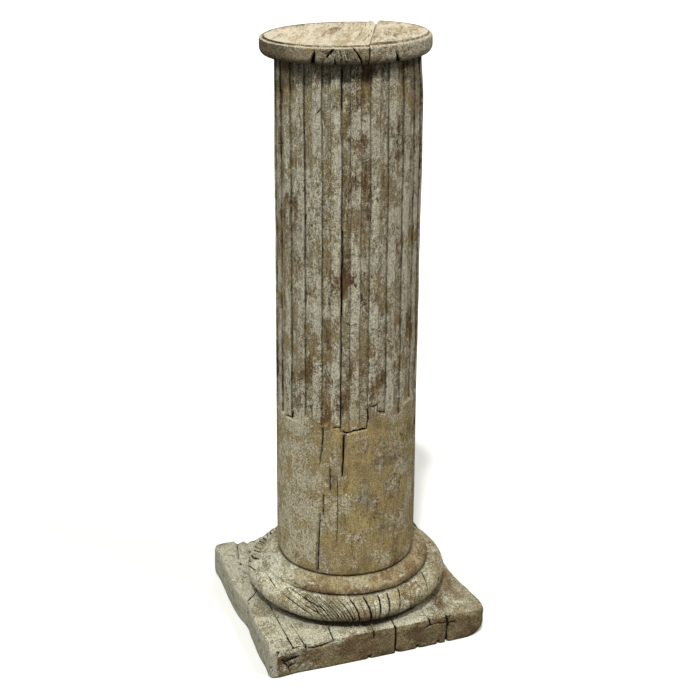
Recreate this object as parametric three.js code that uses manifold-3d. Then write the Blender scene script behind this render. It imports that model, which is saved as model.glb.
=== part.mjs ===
// A weathered wooden column: a square plinth, a turned base moulding, a fluted shaft and a round cap.
// Millimetres, +Z up. The origin is under the middle of the plinth, and the plinth's end grain faces -Y.
import * as THREE from "three";
import { mergeVertices } from "three/addons/utils/BufferGeometryUtils.js";
import Module from "manifold-3d";

const wasm = await Module();
wasm.setup();

// The turned pieces stand a little forward of the plinth's middle. Angles on the shaft and the cap are
// counted from their most weathered side, anticlockwise from above; WEATHERED_SIDE is its direction from +X.
const AXIS_X = 1.3;
const AXIS_Y = -5.1;
const WEATHERED_SIDE = -109.6;
const GAP = 0.3;

// Plinth: a thick board whose grain runs along Y, out of square and worn along its edges.
const PLINTH_HEIGHT = 54.6;
const PLINTH_EDGE_WEAR = 2.5;
const PLINTH_LAYERS = 6;
const PLINTH_OUTLINE = [
  [-202.2, -192.6], [-150, -193.8], [-90, -195.6], [0, -196.4], [50, -196.4], [100, -195.6],
  [150, -194.6], [188, -193], [202, -188], [208, -178], [208.2, -162], [203.5, -115],
  [199.6, -85], [198.5, -55], [199.2, -25], [203.2, 15], [205.3, 45], [206.1, 95],
  [206.1, 152], [205, 185.6], [198, 195.2], [150, 196.4], [0, 196.3], [-150, 196.3],
  [-197, 195.6], [-205.3, 189], [-206.2, 141], [-208.2, 45], [-205.8, 5], [-202.2, -15],
  [-200.3, -35], [-201.9, -55], [-204.9, -115], [-203.9, -158],
];
const LOST_CORNER = { radius: 26, reach: 60, whole: 20, gone: 150 };

// Base moulding: a torus and a flatter ring above it, turned from one block, with a quirk between them.
const MOULDING_SIDES = 60;
const NECK_RADIUS = 152;
const TORUS_RADIUS = 150;
const TORUS_OUT = 35;
const TORUS_UP = 24;
const TORUS_HEIGHT = 84;
const TORUS_STEPS = 8;
const TORUS_STARTS = -65;
const TORUS_ENDS = 80;
const QUIRK = TORUS_HEIGHT + TORUS_UP;
// The ring's profile as [inward from its widest, up from the quirk].
const RING_RADIUS = 153;
const RING_PROFILE = [[5, 0], [0.5, 1.5], [0, 9], [4.5, 15]];
const MOULDING_TOP = 131;
// Where the ring is rubbed down to a plain slope, in degrees from the weathered side, and the slope itself.
const WORN_SIDE = { rises: [-128, -100], falls: [-60, -12] };
const WORN_SLOPE = { radius: 163, below: 5, share: 0.75 };

// Shaft: one log, fluted down to ragged stops, smooth below them.
const SHAFT_BOTTOM_RADIUS = 126.4;
const SHAFT_TOP_RADIUS = 121.6;
const SHAFT_LEAN = 0.4;
const SHAFT_LEAN_FROM = 250;
const FLUTES = 24;
const FLUTE_PITCH = 360 / FLUTES;
const FLUTE_FIRST_CENTRE = -1.4;
const FLUTE_WIDTH = 16.2;
const FLUTE_DEPTH = 4;
const FLUTE_STOP = 437;
const FLUTE_STOP_WANDER = 22;

// Cap: a thick disc that leans a little, split from front to back, its right-hand part standing higher.
const CAP_BOTTOM = 1035.5;
const CAP_LEAN = 0.8;
const CAP_SIDES = 66;
const CAP_RIM_RADIUS = 140.5;
// The rim's profile as [inward from its widest, up from the underside], round the lower edge to the ledge.
const CAP_RIM_PROFILE = [[10.5, 0], [5, 2.2], [1.5, 6.5], [0, 12], [0, 19], [1, 26.2], [2.2, 27], [6.5, 26.5]];
const CAP_THICKNESS = 31;
const CAP_TOP_RADIUS = 133;
const CAP_TOP_EDGE = 1.5;
const CAP_SPLIT = { front: [136, 36], back: [-131, 54], rise: 3, width: 6, depth: 8, gap: 1, overshoot: 0.04 };
const CAP_SPLIT_SWELL = [1.2, 0.7, 1, 0.6, 0.8, 1.5];

// How far a cutter reaches outside the surface that it cuts, and how deep a crack's ends are.
const CUTTER_OUT = 3;
const CRACK_END_DEPTH = 0.5;

const radians = THREE.MathUtils.degToRad;
const smooth = (low, high, value) => THREE.MathUtils.smoothstep(value, low, high);
const shaftRadius = (z) =>
  THREE.MathUtils.mapLinear(z, MOULDING_TOP, CAP_BOTTOM, SHAFT_BOTTOM_RADIUS, SHAFT_TOP_RADIUS);
const capUnderside = (y) => CAP_BOTTOM + y * Math.tan(radians(CAP_LEAN));

// A closed geometry as a solid that can be cut: only positions, shared vertices merged, no collapsed faces.
function solidFrom(geometry) {
  const bare = geometry.index ? geometry.toNonIndexed() : geometry.clone();
  bare.deleteAttribute("normal");
  bare.deleteAttribute("uv");
  const merged = mergeVertices(bare, 1e-3);
  const faces = [];
  for (let i = 0; i < merged.index.count; i += 3) {
    const corners = [0, 1, 2].map((k) => merged.index.getX(i + k));
    if (new Set(corners).size === 3) faces.push(...corners);
  }
  const mesh = new wasm.Mesh({
    numProp: 3,
    vertProperties: merged.attributes.position.array,
    triVerts: new Uint32Array(faces),
  });
  return new wasm.Manifold(mesh);
}

function geometryFrom(solid) {
  const mesh = solid.getMesh();
  const geometry = new THREE.BufferGeometry();
  geometry.setAttribute("position", new THREE.BufferAttribute(mesh.vertProperties, 3));
  geometry.setIndex(new THREE.BufferAttribute(mesh.triVerts, 1));
  geometry.computeVertexNormals();
  return geometry;
}

function moveVertices(geometry, move) {
  const position = geometry.attributes.position;
  const point = new THREE.Vector3();
  for (let i = 0; i < position.count; i++) {
    point.fromBufferAttribute(position, i);
    move(point);
    position.setXYZ(i, point.x, point.y, point.z);
  }
  return geometry;
}

// A turned body: its profile is a list of [radius, height] from the bottom of the axis to the top of it.
function turned(profile, sides, firstAngle = 0) {
  const points = profile.map(([radius, height]) => new THREE.Vector2(radius, height));
  const geometry = new THREE.LatheGeometry(points, sides, radians(firstAngle + 90));
  return geometry.rotateX(Math.PI / 2);
}

// A V-shaped cutter for a check or crack. Each station is a point on the surface, the direction into the
// wood, and the width and depth of the groove there.
function crackCutter(stations) {
  const position = [];
  const index = [];
  stations.forEach(({ point, inward, width, depth }, i) => {
    const before = stations[Math.max(i - 1, 0)].point;
    const after = stations[Math.min(i + 1, stations.length - 1)].point;
    const along = after.clone().sub(before).normalize();
    const sideways = along.cross(inward).normalize();
    const half = (width / 2) * (1 + CUTTER_OUT / depth);
    const outer = point.clone().addScaledVector(inward, -CUTTER_OUT);
    position.push(...outer.clone().addScaledVector(sideways, half));
    position.push(...outer.clone().addScaledVector(sideways, -half));
    position.push(...point.clone().addScaledVector(inward, depth));
  });
  for (let i = 0; i + 1 < stations.length; i++) {
    for (let k = 0; k < 3; k++) {
      const a = 3 * i + k;
      const b = 3 * i + ((k + 1) % 3);
      index.push(a, b, a + 3, b, b + 3, a + 3);
    }
  }
  const last = 3 * (stations.length - 1);
  index.push(0, 2, 1, last, last + 1, last + 2);
  const geometry = new THREE.BufferGeometry();
  geometry.setAttribute("position", new THREE.BufferAttribute(new Float32Array(position), 3));
  geometry.setIndex(index);
  return solidFrom(geometry);
}

// What is left after all the cuts, without the splinters that a cut may free.
function cutAll(solid, cutters) {
  const cut = cutters.reduce((left, cutter) => left.subtract(cutter), solid);
  return cut.decompose().reduce((best, body) => (body.volume() > best.volume() ? body : best));
}

// A crack on an upright round surface: its path is a list of [angle, height], and its width may swell
// along it as a list of shares, one for each point.
function upright({ path, width, depth, swell = [] }, radiusAt) {
  return crackCutter(
    path.map(([angle, height], i) => {
      const outward = new THREE.Vector3(Math.cos(radians(angle)), Math.sin(radians(angle)), 0);
      return {
        point: outward.clone().multiplyScalar(radiusAt(height)).setZ(height),
        inward: outward.negate(),
        width: width * (swell[i] ?? 1),
        depth: depth * (i === 0 || i === path.length - 1 ? CRACK_END_DEPTH : 1),
      };
    }),
  );
}

// Plinth

// Drying checks that run back from the end grain: x, how far back on top, how far down the front.
const PLINTH_CHECKS = [
  { x: -161.7, back: -45, down: 48, width: 2 },
  { x: -137, back: -115, down: 44, width: 2.5 },
  { x: -86, back: -145, down: 40, width: 2 },
  { x: -12, back: -170, down: 36, width: 1.6 },
  { x: 29, back: -165, down: -CUTTER_OUT, width: 4 },
  { x: 93, back: -145, down: 44, width: 2.2 },
  { x: 127, back: -115, down: -CUTTER_OUT, width: 3 },
];
const PLINTH_CHECK_DEPTH = 12;
const PLINTH_CHECK_SWELL = { back: 0.3, middle: 0.8, edge: 1, stopped: 0.4, through: 0.8 };

function plinthCheck({ x, back, down, width }) {
  const front = PLINTH_OUTLINE[3][1] + PLINTH_EDGE_WEAR;
  const depth = PLINTH_CHECK_DEPTH;
  const swell = PLINTH_CHECK_SWELL;
  const station = (y, z, inward, share) => ({
    point: new THREE.Vector3(x, y, z),
    inward: new THREE.Vector3(...inward).normalize(),
    width: width * share,
    depth: depth * share,
  });
  return crackCutter([
    station(back, PLINTH_HEIGHT, [0, 0, -1], swell.back),
    station((back + front) / 2, PLINTH_HEIGHT, [0, 0, -1], swell.middle),
    station(front, PLINTH_HEIGHT, [0, 1, -1], swell.edge),
    station(front, down, [0, 1, 0], down < 0 ? swell.through : swell.stopped),
  ]);
}

// The crack that runs in from the waist of the left side: where each of its stations lies, the way into
// the wood there, the width and the depth.
const PLINTH_SIDE_CRACK = [
  { at: [-174, 3, PLINTH_HEIGHT], inward: [0, 0, -1], width: 1.2, depth: 2.7 },
  { at: [-190, -19, PLINTH_HEIGHT], inward: [0, 0, -1], width: 3.6, depth: 8 },
  { at: [-201, -31, PLINTH_HEIGHT], inward: [1, 0.2, -1], width: 4, depth: 9 },
  { at: [-200.5, -35, 26], inward: [1, 0.2, 0], width: 2.4, depth: 5.4 },
];

function plinthSideCrack() {
  return crackCutter(
    PLINTH_SIDE_CRACK.map(({ at, inward, width, depth }) => ({
      point: new THREE.Vector3(...at),
      inward: new THREE.Vector3(...inward).normalize(),
      width,
      depth,
    })),
  );
}

// The outline runs smoothly through its points, and the origin is under its middle.
function plinthShape() {
  const curve = new THREE.CatmullRomCurve3(
    PLINTH_OUTLINE.map(([x, y]) => new THREE.Vector3(x, y, 0)),
    true,
  );
  const points = curve.getPoints(2 * PLINTH_OUTLINE.length).slice(0, -1);
  const middle = new THREE.Box3().setFromPoints(points).getCenter(new THREE.Vector3());
  return new THREE.Shape(points.map((point) => point.sub(middle)));
}

function plinth() {
  const geometry = new THREE.ExtrudeGeometry(plinthShape(), {
    depth: PLINTH_HEIGHT - 2 * PLINTH_EDGE_WEAR,
    steps: PLINTH_LAYERS,
    bevelThickness: PLINTH_EDGE_WEAR,
    bevelSize: PLINTH_EDGE_WEAR,
    bevelOffset: -PLINTH_EDGE_WEAR,
    bevelSegments: 1,
  });
  geometry.translate(0, 0, PLINTH_EDGE_WEAR);
  const { radius, reach, whole, gone } = LOST_CORNER;
  const right = PLINTH_OUTLINE[10][0];
  const front = PLINTH_OUTLINE[3][1];
  moveVertices(geometry, (p) => {
    const below = Math.max(radius - p.z, 0) / radius;
    const lost = radius * (1 - Math.sqrt(1 - below * below));
    p.x -= lost * smooth(right - reach, right, p.x) * (1 - smooth(front + whole, front + gone, p.y));
  });
  return cutAll(solidFrom(geometry), [...PLINTH_CHECKS.map(plinthCheck), plinthSideCrack()]);
}

// Base moulding

const torusPoint = (turn) => [
  TORUS_RADIUS + TORUS_OUT * Math.cos(radians(turn)),
  TORUS_HEIGHT + TORUS_UP * Math.sin(radians(turn)),
];

function mouldingProfile() {
  const bottom = PLINTH_HEIGHT + GAP;
  const profile = [[0, bottom], [NECK_RADIUS, bottom], [NECK_RADIUS, TORUS_HEIGHT - TORUS_UP]];
  for (let i = 0; i <= TORUS_STEPS; i++) {
    profile.push(torusPoint(THREE.MathUtils.mapLinear(i, 0, TORUS_STEPS, TORUS_STARTS, TORUS_ENDS)));
  }
  profile.push(...RING_PROFILE.map(([inward, up]) => [RING_RADIUS - inward, QUIRK + up]));
  profile.push([SHAFT_BOTTOM_RADIUS, MOULDING_TOP]);
  profile.push([0, MOULDING_TOP]);
  return profile;
}

// Drying checks across the torus, whose block has its grain along Y as the plinth has: x at the quirk and
// x low on the torus.
const TORUS_CHECKS_FRONT = [
  [-124, -94], [-113, -77], [-101, -75], [-90, -70], [-83, -64], [-67, -51],
  [-46, -38], [-21.5, -16], [5.5, 1], [24, 18], [47.5, 39], [107, 104],
];
const TORUS_CHECKS_BACK = [
  [-131, -124], [-112, -108], [-96, -94], [-74, -76], [-51, -48], [-22, -22], [14, 12], [47, 43], [83, 80],
  [109, 102],
];
const TORUS_CHECK = { width: 2.4, depth: 5, from: 75, to: -35, steps: 4, lowAt: 80 };

function torusCheck([top, low], side) {
  const { width, depth, from, to, steps, lowAt } = TORUS_CHECK;
  const stations = [];
  for (let i = 0; i <= steps; i++) {
    const turn = THREE.MathUtils.mapLinear(i, 0, steps, from, to);
    const [radius, height] = torusPoint(turn);
    const x = THREE.MathUtils.mapLinear(height, lowAt, QUIRK, low, top);
    const y = side * Math.sqrt(radius * radius - x * x);
    const inward = new THREE.Vector3(0, (-y / radius) * Math.cos(radians(turn)), -Math.sin(radians(turn)));
    stations.push({
      point: new THREE.Vector3(x, y, height),
      inward: inward.normalize(),
      width,
      depth: depth * (i === 0 || i === steps ? CRACK_END_DEPTH : 1),
    });
  }
  return crackCutter(stations);
}

function baseMoulding() {
  const geometry = turned(mouldingProfile(), MOULDING_SIDES);
  // On the worn side the ring has been rubbed down until it runs into the torus with no quirk.
  moveVertices(geometry, (p) => {
    const direction = THREE.MathUtils.radToDeg(Math.atan2(p.y, p.x)) - WEATHERED_SIDE;
    const angle = THREE.MathUtils.euclideanModulo(direction + 180, 360) - 180;
    const worn = smooth(...WORN_SIDE.rises, angle) * (1 - smooth(...WORN_SIDE.falls, angle));
    const radius = Math.hypot(p.x, p.y);
    const base = QUIRK - WORN_SLOPE.below;
    const slope = THREE.MathUtils.mapLinear(p.z, base, MOULDING_TOP, WORN_SLOPE.radius, SHAFT_BOTTOM_RADIUS);
    const onRing = p.z > base && p.z < MOULDING_TOP - GAP && radius > SHAFT_BOTTOM_RADIUS;
    const share = onRing ? worn * WORN_SLOPE.share : 0;
    p.x *= 1 + share * (slope / radius - 1);
    p.y *= 1 + share * (slope / radius - 1);
  });
  return cutAll(solidFrom(geometry), [
    ...TORUS_CHECKS_FRONT.map((check) => torusCheck(check, -1)),
    ...TORUS_CHECKS_BACK.map((check) => torusCheck(check, 1)),
  ]);
}

// Shaft

// The lower end of each flute that shows on the weathered side: heights across it, counted from flute 0.
const FLUTE_ENDS = {
  "-4": [421, 420],
  "-3": [422, 419],
  "-2": [437, 431],
  "-1": [424, 430],
  0: [415, 415],
  1: [417, 418, 458],
  2: [446, 443, 441],
  3: [436, 430],
  4: [440, 452],
};

const SHAFT_CRACKS = [
  { path: [[-3.5, 1000], [-4, 830], [-3.2, 745], [-4.6, 650], [-4.4, 500], [-4.7, 414]], width: 4, depth: 26 },
  { path: [[-4.8, 416], [3, 414], [10, 417], [16, 417], [17.3, 432], [17.8, 459]], width: 3.5, depth: 7 },
  { path: [[17.4, 460], [26, 461], [26.6, 447], [32.5, 443]], width: 2.5, depth: 6 },
  { path: [[-1.6, 413], [-2.4, 370], [-3, 326]], width: 4, depth: 16 },
  { path: [[-19, 420], [-19.6, 390], [-21.4, 352]], width: 2.5, depth: 12 },
  { path: [[-13, 346], [-12.6, 298]], width: 2.5, depth: 10 },
  { path: [[-18, 292], [-18.6, 248]], width: 2.5, depth: 10 },
  { path: [[-21, 252], [-22.6, 200], [-23.5, 128]], width: 4.5, depth: 22 },
  { path: [[-7, 332], [-6.4, 260], [-7.2, 188]], width: 2, depth: 8 },
  { path: [[50, 312], [49.6, 276]], width: 2.5, depth: 8 },
  { path: [[-0.5, 611], [6, 610]], width: 2.5, depth: 6 },
  { path: [[-60, 420], [-50, 422]], width: 2.5, depth: 6 },
  { path: [[142, 880], [141, 660], [143, 470], [141.5, 300]], width: 3, depth: 20 },
  { path: [[-118, 560], [-117, 330], [-119, 160]], width: 3, depth: 18 },
];

// One flute's cutter: its outline seen from outside, ragged at the lower end, pushed into the wood.
function fluteCutter(number) {
  const wander = Math.sin(number * 2.7) * FLUTE_STOP_WANDER;
  const signed = number > FLUTES / 2 ? number - FLUTES : number;
  const ends = FLUTE_ENDS[signed] ?? [FLUTE_STOP + wander, FLUTE_STOP + wander * 0.6];
  const top = CAP_BOTTOM + FLUTE_WIDTH;
  const shape = new THREE.Shape();
  shape.moveTo(FLUTE_WIDTH / 2, top);
  shape.lineTo(-FLUTE_WIDTH / 2, top);
  ends.forEach((height, i) => {
    shape.lineTo(THREE.MathUtils.mapLinear(i, 0, ends.length - 1, -0.5, 0.5) * FLUTE_WIDTH, height);
  });
  shape.closePath();
  const geometry = new THREE.ExtrudeGeometry(shape, { depth: FLUTE_DEPTH * 4, bevelEnabled: false });
  // The flute's bottom follows the shaft's taper, and its outline stands upright, facing out along +X.
  moveVertices(geometry, (p) => {
    const radius = shaftRadius(p.y) - FLUTE_DEPTH + p.z;
    p.set(radius, p.x, p.y);
  });
  return solidFrom(geometry.rotateZ(radians(FLUTE_FIRST_CENTRE + number * FLUTE_PITCH)));
}

function shaft() {
  const bottom = MOULDING_TOP + GAP;
  const heights = [bottom, SHAFT_LEAN_FROM, FLUTE_STOP, CAP_BOTTOM];
  const profile = [[0, bottom], ...heights.map((z) => [shaftRadius(z), z]), [0, CAP_BOTTOM]];
  const geometry = turned(profile, 4 * FLUTES, FLUTE_FIRST_CENTRE - FLUTE_PITCH / 4);
  moveVertices(geometry, (p) => {
    if (p.z > CAP_BOTTOM - GAP) p.z = capUnderside(p.y) - GAP;
  });
  const flutes = Array.from({ length: FLUTES }, (_, number) => fluteCutter(number));
  const cracks = SHAFT_CRACKS.map((crack) => upright(crack, shaftRadius));
  return cutAll(solidFrom(geometry), [...flutes, ...cracks]);
}

// The log leans a little to its right.
function leaning(geometry) {
  return moveVertices(geometry, (p) => {
    p.y += (p.z - SHAFT_LEAN_FROM) * Math.tan(radians(SHAFT_LEAN));
  });
}

// Cap

const CAP_NOTCHES = [
  { path: [[-18.5, 1057], [-20, 1046], [-22, 1028]], width: 9, depth: 13, swell: [0.2, 0.6, 1.1] },
  { path: [[-7.5, 1064], [-10, 1059], [-13.5, 1053]], width: 4, depth: 7 },
  { path: [[-8, 1052], [-7.6, 1028]], width: 7, depth: 8, swell: [0.2, 1.2] },
  { path: [[4, 1067], [6, 1056], [9, 1046], [11, 1028]], width: 9, depth: 14, swell: [0.4, 0.7, 1, 1.2] },
  { path: [[15.5, 1066], [15, 1050], [15.5, 1028]], width: 4, depth: 10 },
  { path: [[34.5, 1053], [34, 1028]], width: 8, depth: 11, swell: [0.2, 1.2] },
  { path: [[172, 1066], [174, 1050], [175, 1028]], width: 7, depth: 12, swell: [0.5, 0.8, 1.2] },
];

function capDisc(rise) {
  const top = CAP_THICKNESS + rise;
  const profile = [
    [0, 0],
    ...CAP_RIM_PROFILE.map(([inward, height]) => [CAP_RIM_RADIUS - inward, height]),
    [CAP_TOP_RADIUS, top - CAP_TOP_EDGE],
    [CAP_TOP_RADIUS - CAP_TOP_EDGE, top],
    [0, top],
  ];
  const geometry = turned(profile, CAP_SIDES);
  moveVertices(geometry, (p) => {
    p.z += capUnderside(p.y);
  });
  return solidFrom(geometry);
}

// Everything on one side of the split, as a block: side is 1 for the right-hand part, -1 for the rest.
function splitBlock(side) {
  const size = 4 * CAP_RIM_RADIUS;
  const front = new THREE.Vector2(...CAP_SPLIT.front);
  const back = new THREE.Vector2(...CAP_SPLIT.back);
  const block = new THREE.BoxGeometry(size, size, size);
  block.translate(0, (side * (size - CAP_SPLIT.gap)) / 2, 0);
  block.rotateZ(Math.atan2(front.y - back.y, front.x - back.x));
  return solidFrom(block.translate((front.x + back.x) / 2, (front.y + back.y) / 2, CAP_BOTTOM));
}

function capSplit() {
  const { front, back, rise, width, depth, overshoot } = CAP_SPLIT;
  const last = CAP_SPLIT_SWELL.length - 1;
  const inward = new THREE.Vector3(0, 0, -1);
  return crackCutter(
    CAP_SPLIT_SWELL.map((swell, i) => {
      const along = THREE.MathUtils.mapLinear(i, 0, last, -overshoot, 1 + overshoot);
      const x = THREE.MathUtils.lerp(front[0], back[0], along);
      const y = THREE.MathUtils.lerp(front[1], back[1], along);
      const point = new THREE.Vector3(x, y, capUnderside(y) + CAP_THICKNESS + rise / 2);
      return { point, inward, width: width * swell, depth: depth * swell };
    }),
  );
}

function cap() {
  const left = capDisc(0).intersect(splitBlock(-1));
  const right = capDisc(CAP_SPLIT.rise).intersect(splitBlock(1));
  const notches = CAP_NOTCHES.map((notch) => upright(notch, () => CAP_RIM_RADIUS));
  return cutAll(left.add(right), [capSplit(), ...notches]);
}

// Assembly

function wood(name, geometry, color) {
  const material = new THREE.MeshStandardMaterial({ color, roughness: 0.9, metalness: 0 });
  const mesh = new THREE.Mesh(geometry, material);
  mesh.name = name;
  return mesh;
}

const column = new THREE.Group();
column.add(wood("plinth", geometryFrom(plinth()), 0x8f8470));

const turnings = new THREE.Group();
turnings.position.set(AXIS_X, AXIS_Y, 0);
turnings.add(wood("base_moulding", geometryFrom(baseMoulding()), 0x95896f));

const weatheredSide = new THREE.Group();
weatheredSide.rotation.z = radians(WEATHERED_SIDE);
weatheredSide.add(wood("shaft", leaning(geometryFrom(shaft())), 0x8a7c5e));
weatheredSide.add(wood("cap", geometryFrom(cap()), 0xa89b80));
turnings.add(weatheredSide);
column.add(turnings);

export default column;
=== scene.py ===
"""Looks for the weathered wooden column: plinth, base moulding, shaft and cap as carved, cracked and
whitewashed wood. Lengths in the code are millimetres until a mesh is made; angles are degrees."""
import math

import bpy
import numpy as np
from mathutils import Euler, Matrix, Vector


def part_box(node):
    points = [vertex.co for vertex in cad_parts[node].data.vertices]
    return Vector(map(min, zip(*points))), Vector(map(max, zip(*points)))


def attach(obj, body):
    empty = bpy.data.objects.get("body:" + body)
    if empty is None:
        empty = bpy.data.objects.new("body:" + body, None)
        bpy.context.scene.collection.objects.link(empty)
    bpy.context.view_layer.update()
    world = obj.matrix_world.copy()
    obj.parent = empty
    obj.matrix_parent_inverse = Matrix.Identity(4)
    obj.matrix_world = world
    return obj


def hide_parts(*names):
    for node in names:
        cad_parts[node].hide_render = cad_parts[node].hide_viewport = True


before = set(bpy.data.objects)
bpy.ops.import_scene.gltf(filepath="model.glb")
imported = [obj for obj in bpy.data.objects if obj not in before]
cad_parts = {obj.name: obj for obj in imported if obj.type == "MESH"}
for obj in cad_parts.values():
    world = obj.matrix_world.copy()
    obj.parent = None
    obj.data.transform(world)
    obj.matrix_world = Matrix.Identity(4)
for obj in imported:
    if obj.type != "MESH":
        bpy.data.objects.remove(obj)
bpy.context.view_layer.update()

# The photograph's camera, in metres and degrees: yaw turns right from +Y, pitch is up.
CAMERA_PLACE = (-0.7153, -2.0196, 1.3716)
CAMERA_YAW = 19.787
CAMERA_PITCH = -21.799
CAMERA_ROLL = 0.088
CAMERA_LENS = 67.09

# Soft lights from high in front: azimuth, elevation, power, spread and colour of each. The key comes first.
LIGHTS = (
    ("key", -26, 60, 2.6, 3, (0.99, 0.985, 0.94)),
    ("left", -80, 48, 1.0, 14, (0.97, 1.0, 0.96)),
    ("right", 46, 52, 1.3, 14, (1.0, 0.95, 0.87)),
    ("back", 160, 30, 0.7, 20, (1.0, 0.99, 0.96)),
)
AMBIENT = 0.155
FLOOR_PALE = (0.86, 0.86, 0.85, 1)
FLOOR_BOUNCE = 0.1

# Angles on the shaft and the cap count from this direction, anticlockwise from above.
WEATHERED_SIDE = -109.6
CAP_LEAN = 0.8
SHAFT_LEAN = 0.4
SHAFT_LEAN_FROM = 250
GAP = 0.3


def box_mm(node):
    low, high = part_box(node)
    return 1000 * np.array(low), 1000 * np.array(high)


MOULDING_LOW, MOULDING_HIGH = box_mm("base_moulding")
SHAFT_FOOT = box_mm("shaft")[0][2]
CAP_FOOT = box_mm("cap")[0][2]
PLINTH_LOW, PLINTH_HIGH = box_mm("plinth")
AXIS = (MOULDING_LOW[:2] + MOULDING_HIGH[:2]) / 2


# Numbers

def smooth(low, high, value):
    share = np.clip((value - low) / (high - low), 0, 1)
    return share * share * (3 - 2 * share)


def bell(value, centre, width):
    return np.exp(-(((value - centre) / width) ** 2))


def noise(x, y, z=0.0, seed=0):
    """Smooth noise from about -1 to 1, the same on every run."""
    x, y, z = np.broadcast_arrays(np.asarray(x, float), y, z)
    table = np.random.RandomState(seed).permutation(256)
    directions = np.random.RandomState(seed + 1).normal(size=(256, 3))
    directions /= np.linalg.norm(directions, axis=1)[:, None]
    cell = [np.floor(c).astype(int) for c in (x, y, z)]
    part = [c - f for c, f in zip((x, y, z), cell)]
    ease = [p ** 3 * (p * (6 * p - 15) + 10) for p in part]
    total = np.zeros(x.shape)
    for corner in np.ndindex(2, 2, 2):
        at = [(c + k) & 255 for c, k in zip(cell, corner)]
        direction = directions[table[(table[(table[at[0]] + at[1]) & 255] + at[2]) & 255]]
        value = sum(direction[..., i] * (part[i] - corner[i]) for i in range(3))
        weight = 1.0
        for i in range(3):
            weight = weight * (ease[i] if corner[i] else 1 - ease[i])
        total += weight * value
    return 1.6 * total


def fractal(x, y, z=0.0, seed=0, octaves=3):
    total = 0
    for k in range(octaves):
        total = total + noise(x * 2 ** k, y * 2 ** k, z * 2 ** k, seed + 7 * k) / 2 ** k
    return total


class Cracks:
    """Cracks on a surface whose two coordinates are both lengths, across and along. Each crack is a path
    of (across, along) points with a width, or a width at either end, and a depth. It thins out to both
    ends unless they are open."""

    REACH = 9.0

    def __init__(self, shape):
        self.side = np.full(shape, 50.0)
        self.width = np.zeros(shape)
        self.depth = np.zeros(shape)

    def add(self, across, along, path, width, depth, open_start=False, open_end=False, wander=0.5):
        path = np.array(path, float)
        steps = np.linalg.norm(np.diff(path, axis=0), axis=1)
        total = steps.sum()
        low = path.min(axis=0) - self.REACH - 2
        high = path.max(axis=0) + self.REACH + 2
        near = (across > low[0]) & (across < high[0]) & (along > low[1]) & (along < high[1])
        if not near.any():
            return
        x = across[near] + wander * noise(across[near] / 9, along[near] / 9, seed=91)
        y = along[near] + wander * noise(across[near] / 9, along[near] / 9, seed=92)
        best = np.full(x.shape, 1e9)
        signed = np.full(x.shape, 50.0)
        place = np.zeros(x.shape)
        start = 0.0
        for a, b, step in zip(path[:-1], path[1:], steps):
            direction = (b - a) / step
            share = np.clip((x - a[0]) * direction[0] + (y - a[1]) * direction[1], 0, step)
            dx = x - a[0] - share * direction[0]
            dy = y - a[1] - share * direction[1]
            distance = np.hypot(dx, dy)
            closer = distance < best
            best = np.where(closer, distance, best)
            sign = np.where(dx * direction[1] - dy * direction[0] < 0, -1, 1)
            signed = np.where(closer, sign * distance, signed)
            place = np.where(closer, (start + share) / total, place)
            start += step
        taper = np.ones(x.shape)
        if not open_start:
            taper *= smooth(0, 0.12, place) * 0.75 + 0.25
        if not open_end:
            taper *= smooth(0, 0.12, 1 - place) * 0.75 + 0.25
        wide_start, wide_end = np.broadcast_to(width, 2)
        here = (wide_start + (wide_end - wide_start) * place) / 2
        here = here * taper * (1 + 0.5 * noise(x / 8, y / 14, seed=93))
        groove = depth * taper * np.clip(1 - best / (here + 0.6), 0, 1)
        self.lay(near, signed, np.where(best < self.REACH, here, 0), groove)

    def lay(self, where, side, half, groove):
        """Lays a crack over the others: the nearest gives the distance and the half width, the deepest the
        groove."""
        closest = np.abs(side) < np.abs(self.side[where])
        self.side[where] = np.where(closest, side, self.side[where])
        self.width[where] = np.where(closest, half, self.width[where])
        self.depth[where] = np.maximum(self.depth[where], groove)

    def take(self, here, source):
        """Takes over the cracks of another surface where here is true."""
        for key in ("side", "width", "depth"):
            setattr(self, key, np.where(here, getattr(source, key), getattr(self, key)))


def across_at(path, along):
    """How far across a crack's path lies at each place along it, or nan beyond its ends."""
    path = np.array(sorted(path, key=lambda point: point[1]))
    return np.interp(along, path[:, 1], path[:, 0], left=np.nan, right=np.nan)


def drawn_to(lines, target, reach, pinch=0.7, core=2.4):
    """Moves the grid line nearest to target onto it, its neighbours with it, and packs them closer.
    lines is (rows, columns); target is one value for each row, or nan where the crack isn't."""
    middle = np.nanmean(target)
    column = np.argmin(np.abs(lines.mean(axis=0) - middle))
    known = ~np.isnan(target)
    spread = np.interp(np.arange(len(target)), np.flatnonzero(known), target[known])
    rows = np.arange(len(target))
    gap = np.minimum(np.abs(rows - np.flatnonzero(known)[0]), np.abs(rows - np.flatnonzero(known)[-1]))
    fade = np.where(known, 1, np.clip(1 - gap / 6, 0, 1))
    centre = lines[:, column].copy()
    offset = lines - centre[:, None]
    pull = (spread - centre) * fade
    moved = offset * (1 - pinch * fade[:, None] * np.exp(-((offset / core) ** 2)))
    weight = np.exp(-((offset / reach) ** 2))
    return centre[:, None] + moved + pull[:, None] * weight


# Meshes

def weathered_to_row(x, y, z):
    """From the shaft's own frame, whose X points out of its weathered side, to the row's."""
    turn = math.radians(WEATHERED_SIDE)
    return np.stack([
        AXIS[0] + x * math.cos(turn) - y * math.sin(turn),
        AXIS[1] + x * math.sin(turn) + y * math.cos(turn),
        z,
    ], axis=-1)


def band_faces(first, second):
    """Quads between two closed rings of vertex numbers, the first below or outside the second."""
    return np.stack([first, np.roll(first, -1), np.roll(second, -1), second], axis=1)


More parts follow.
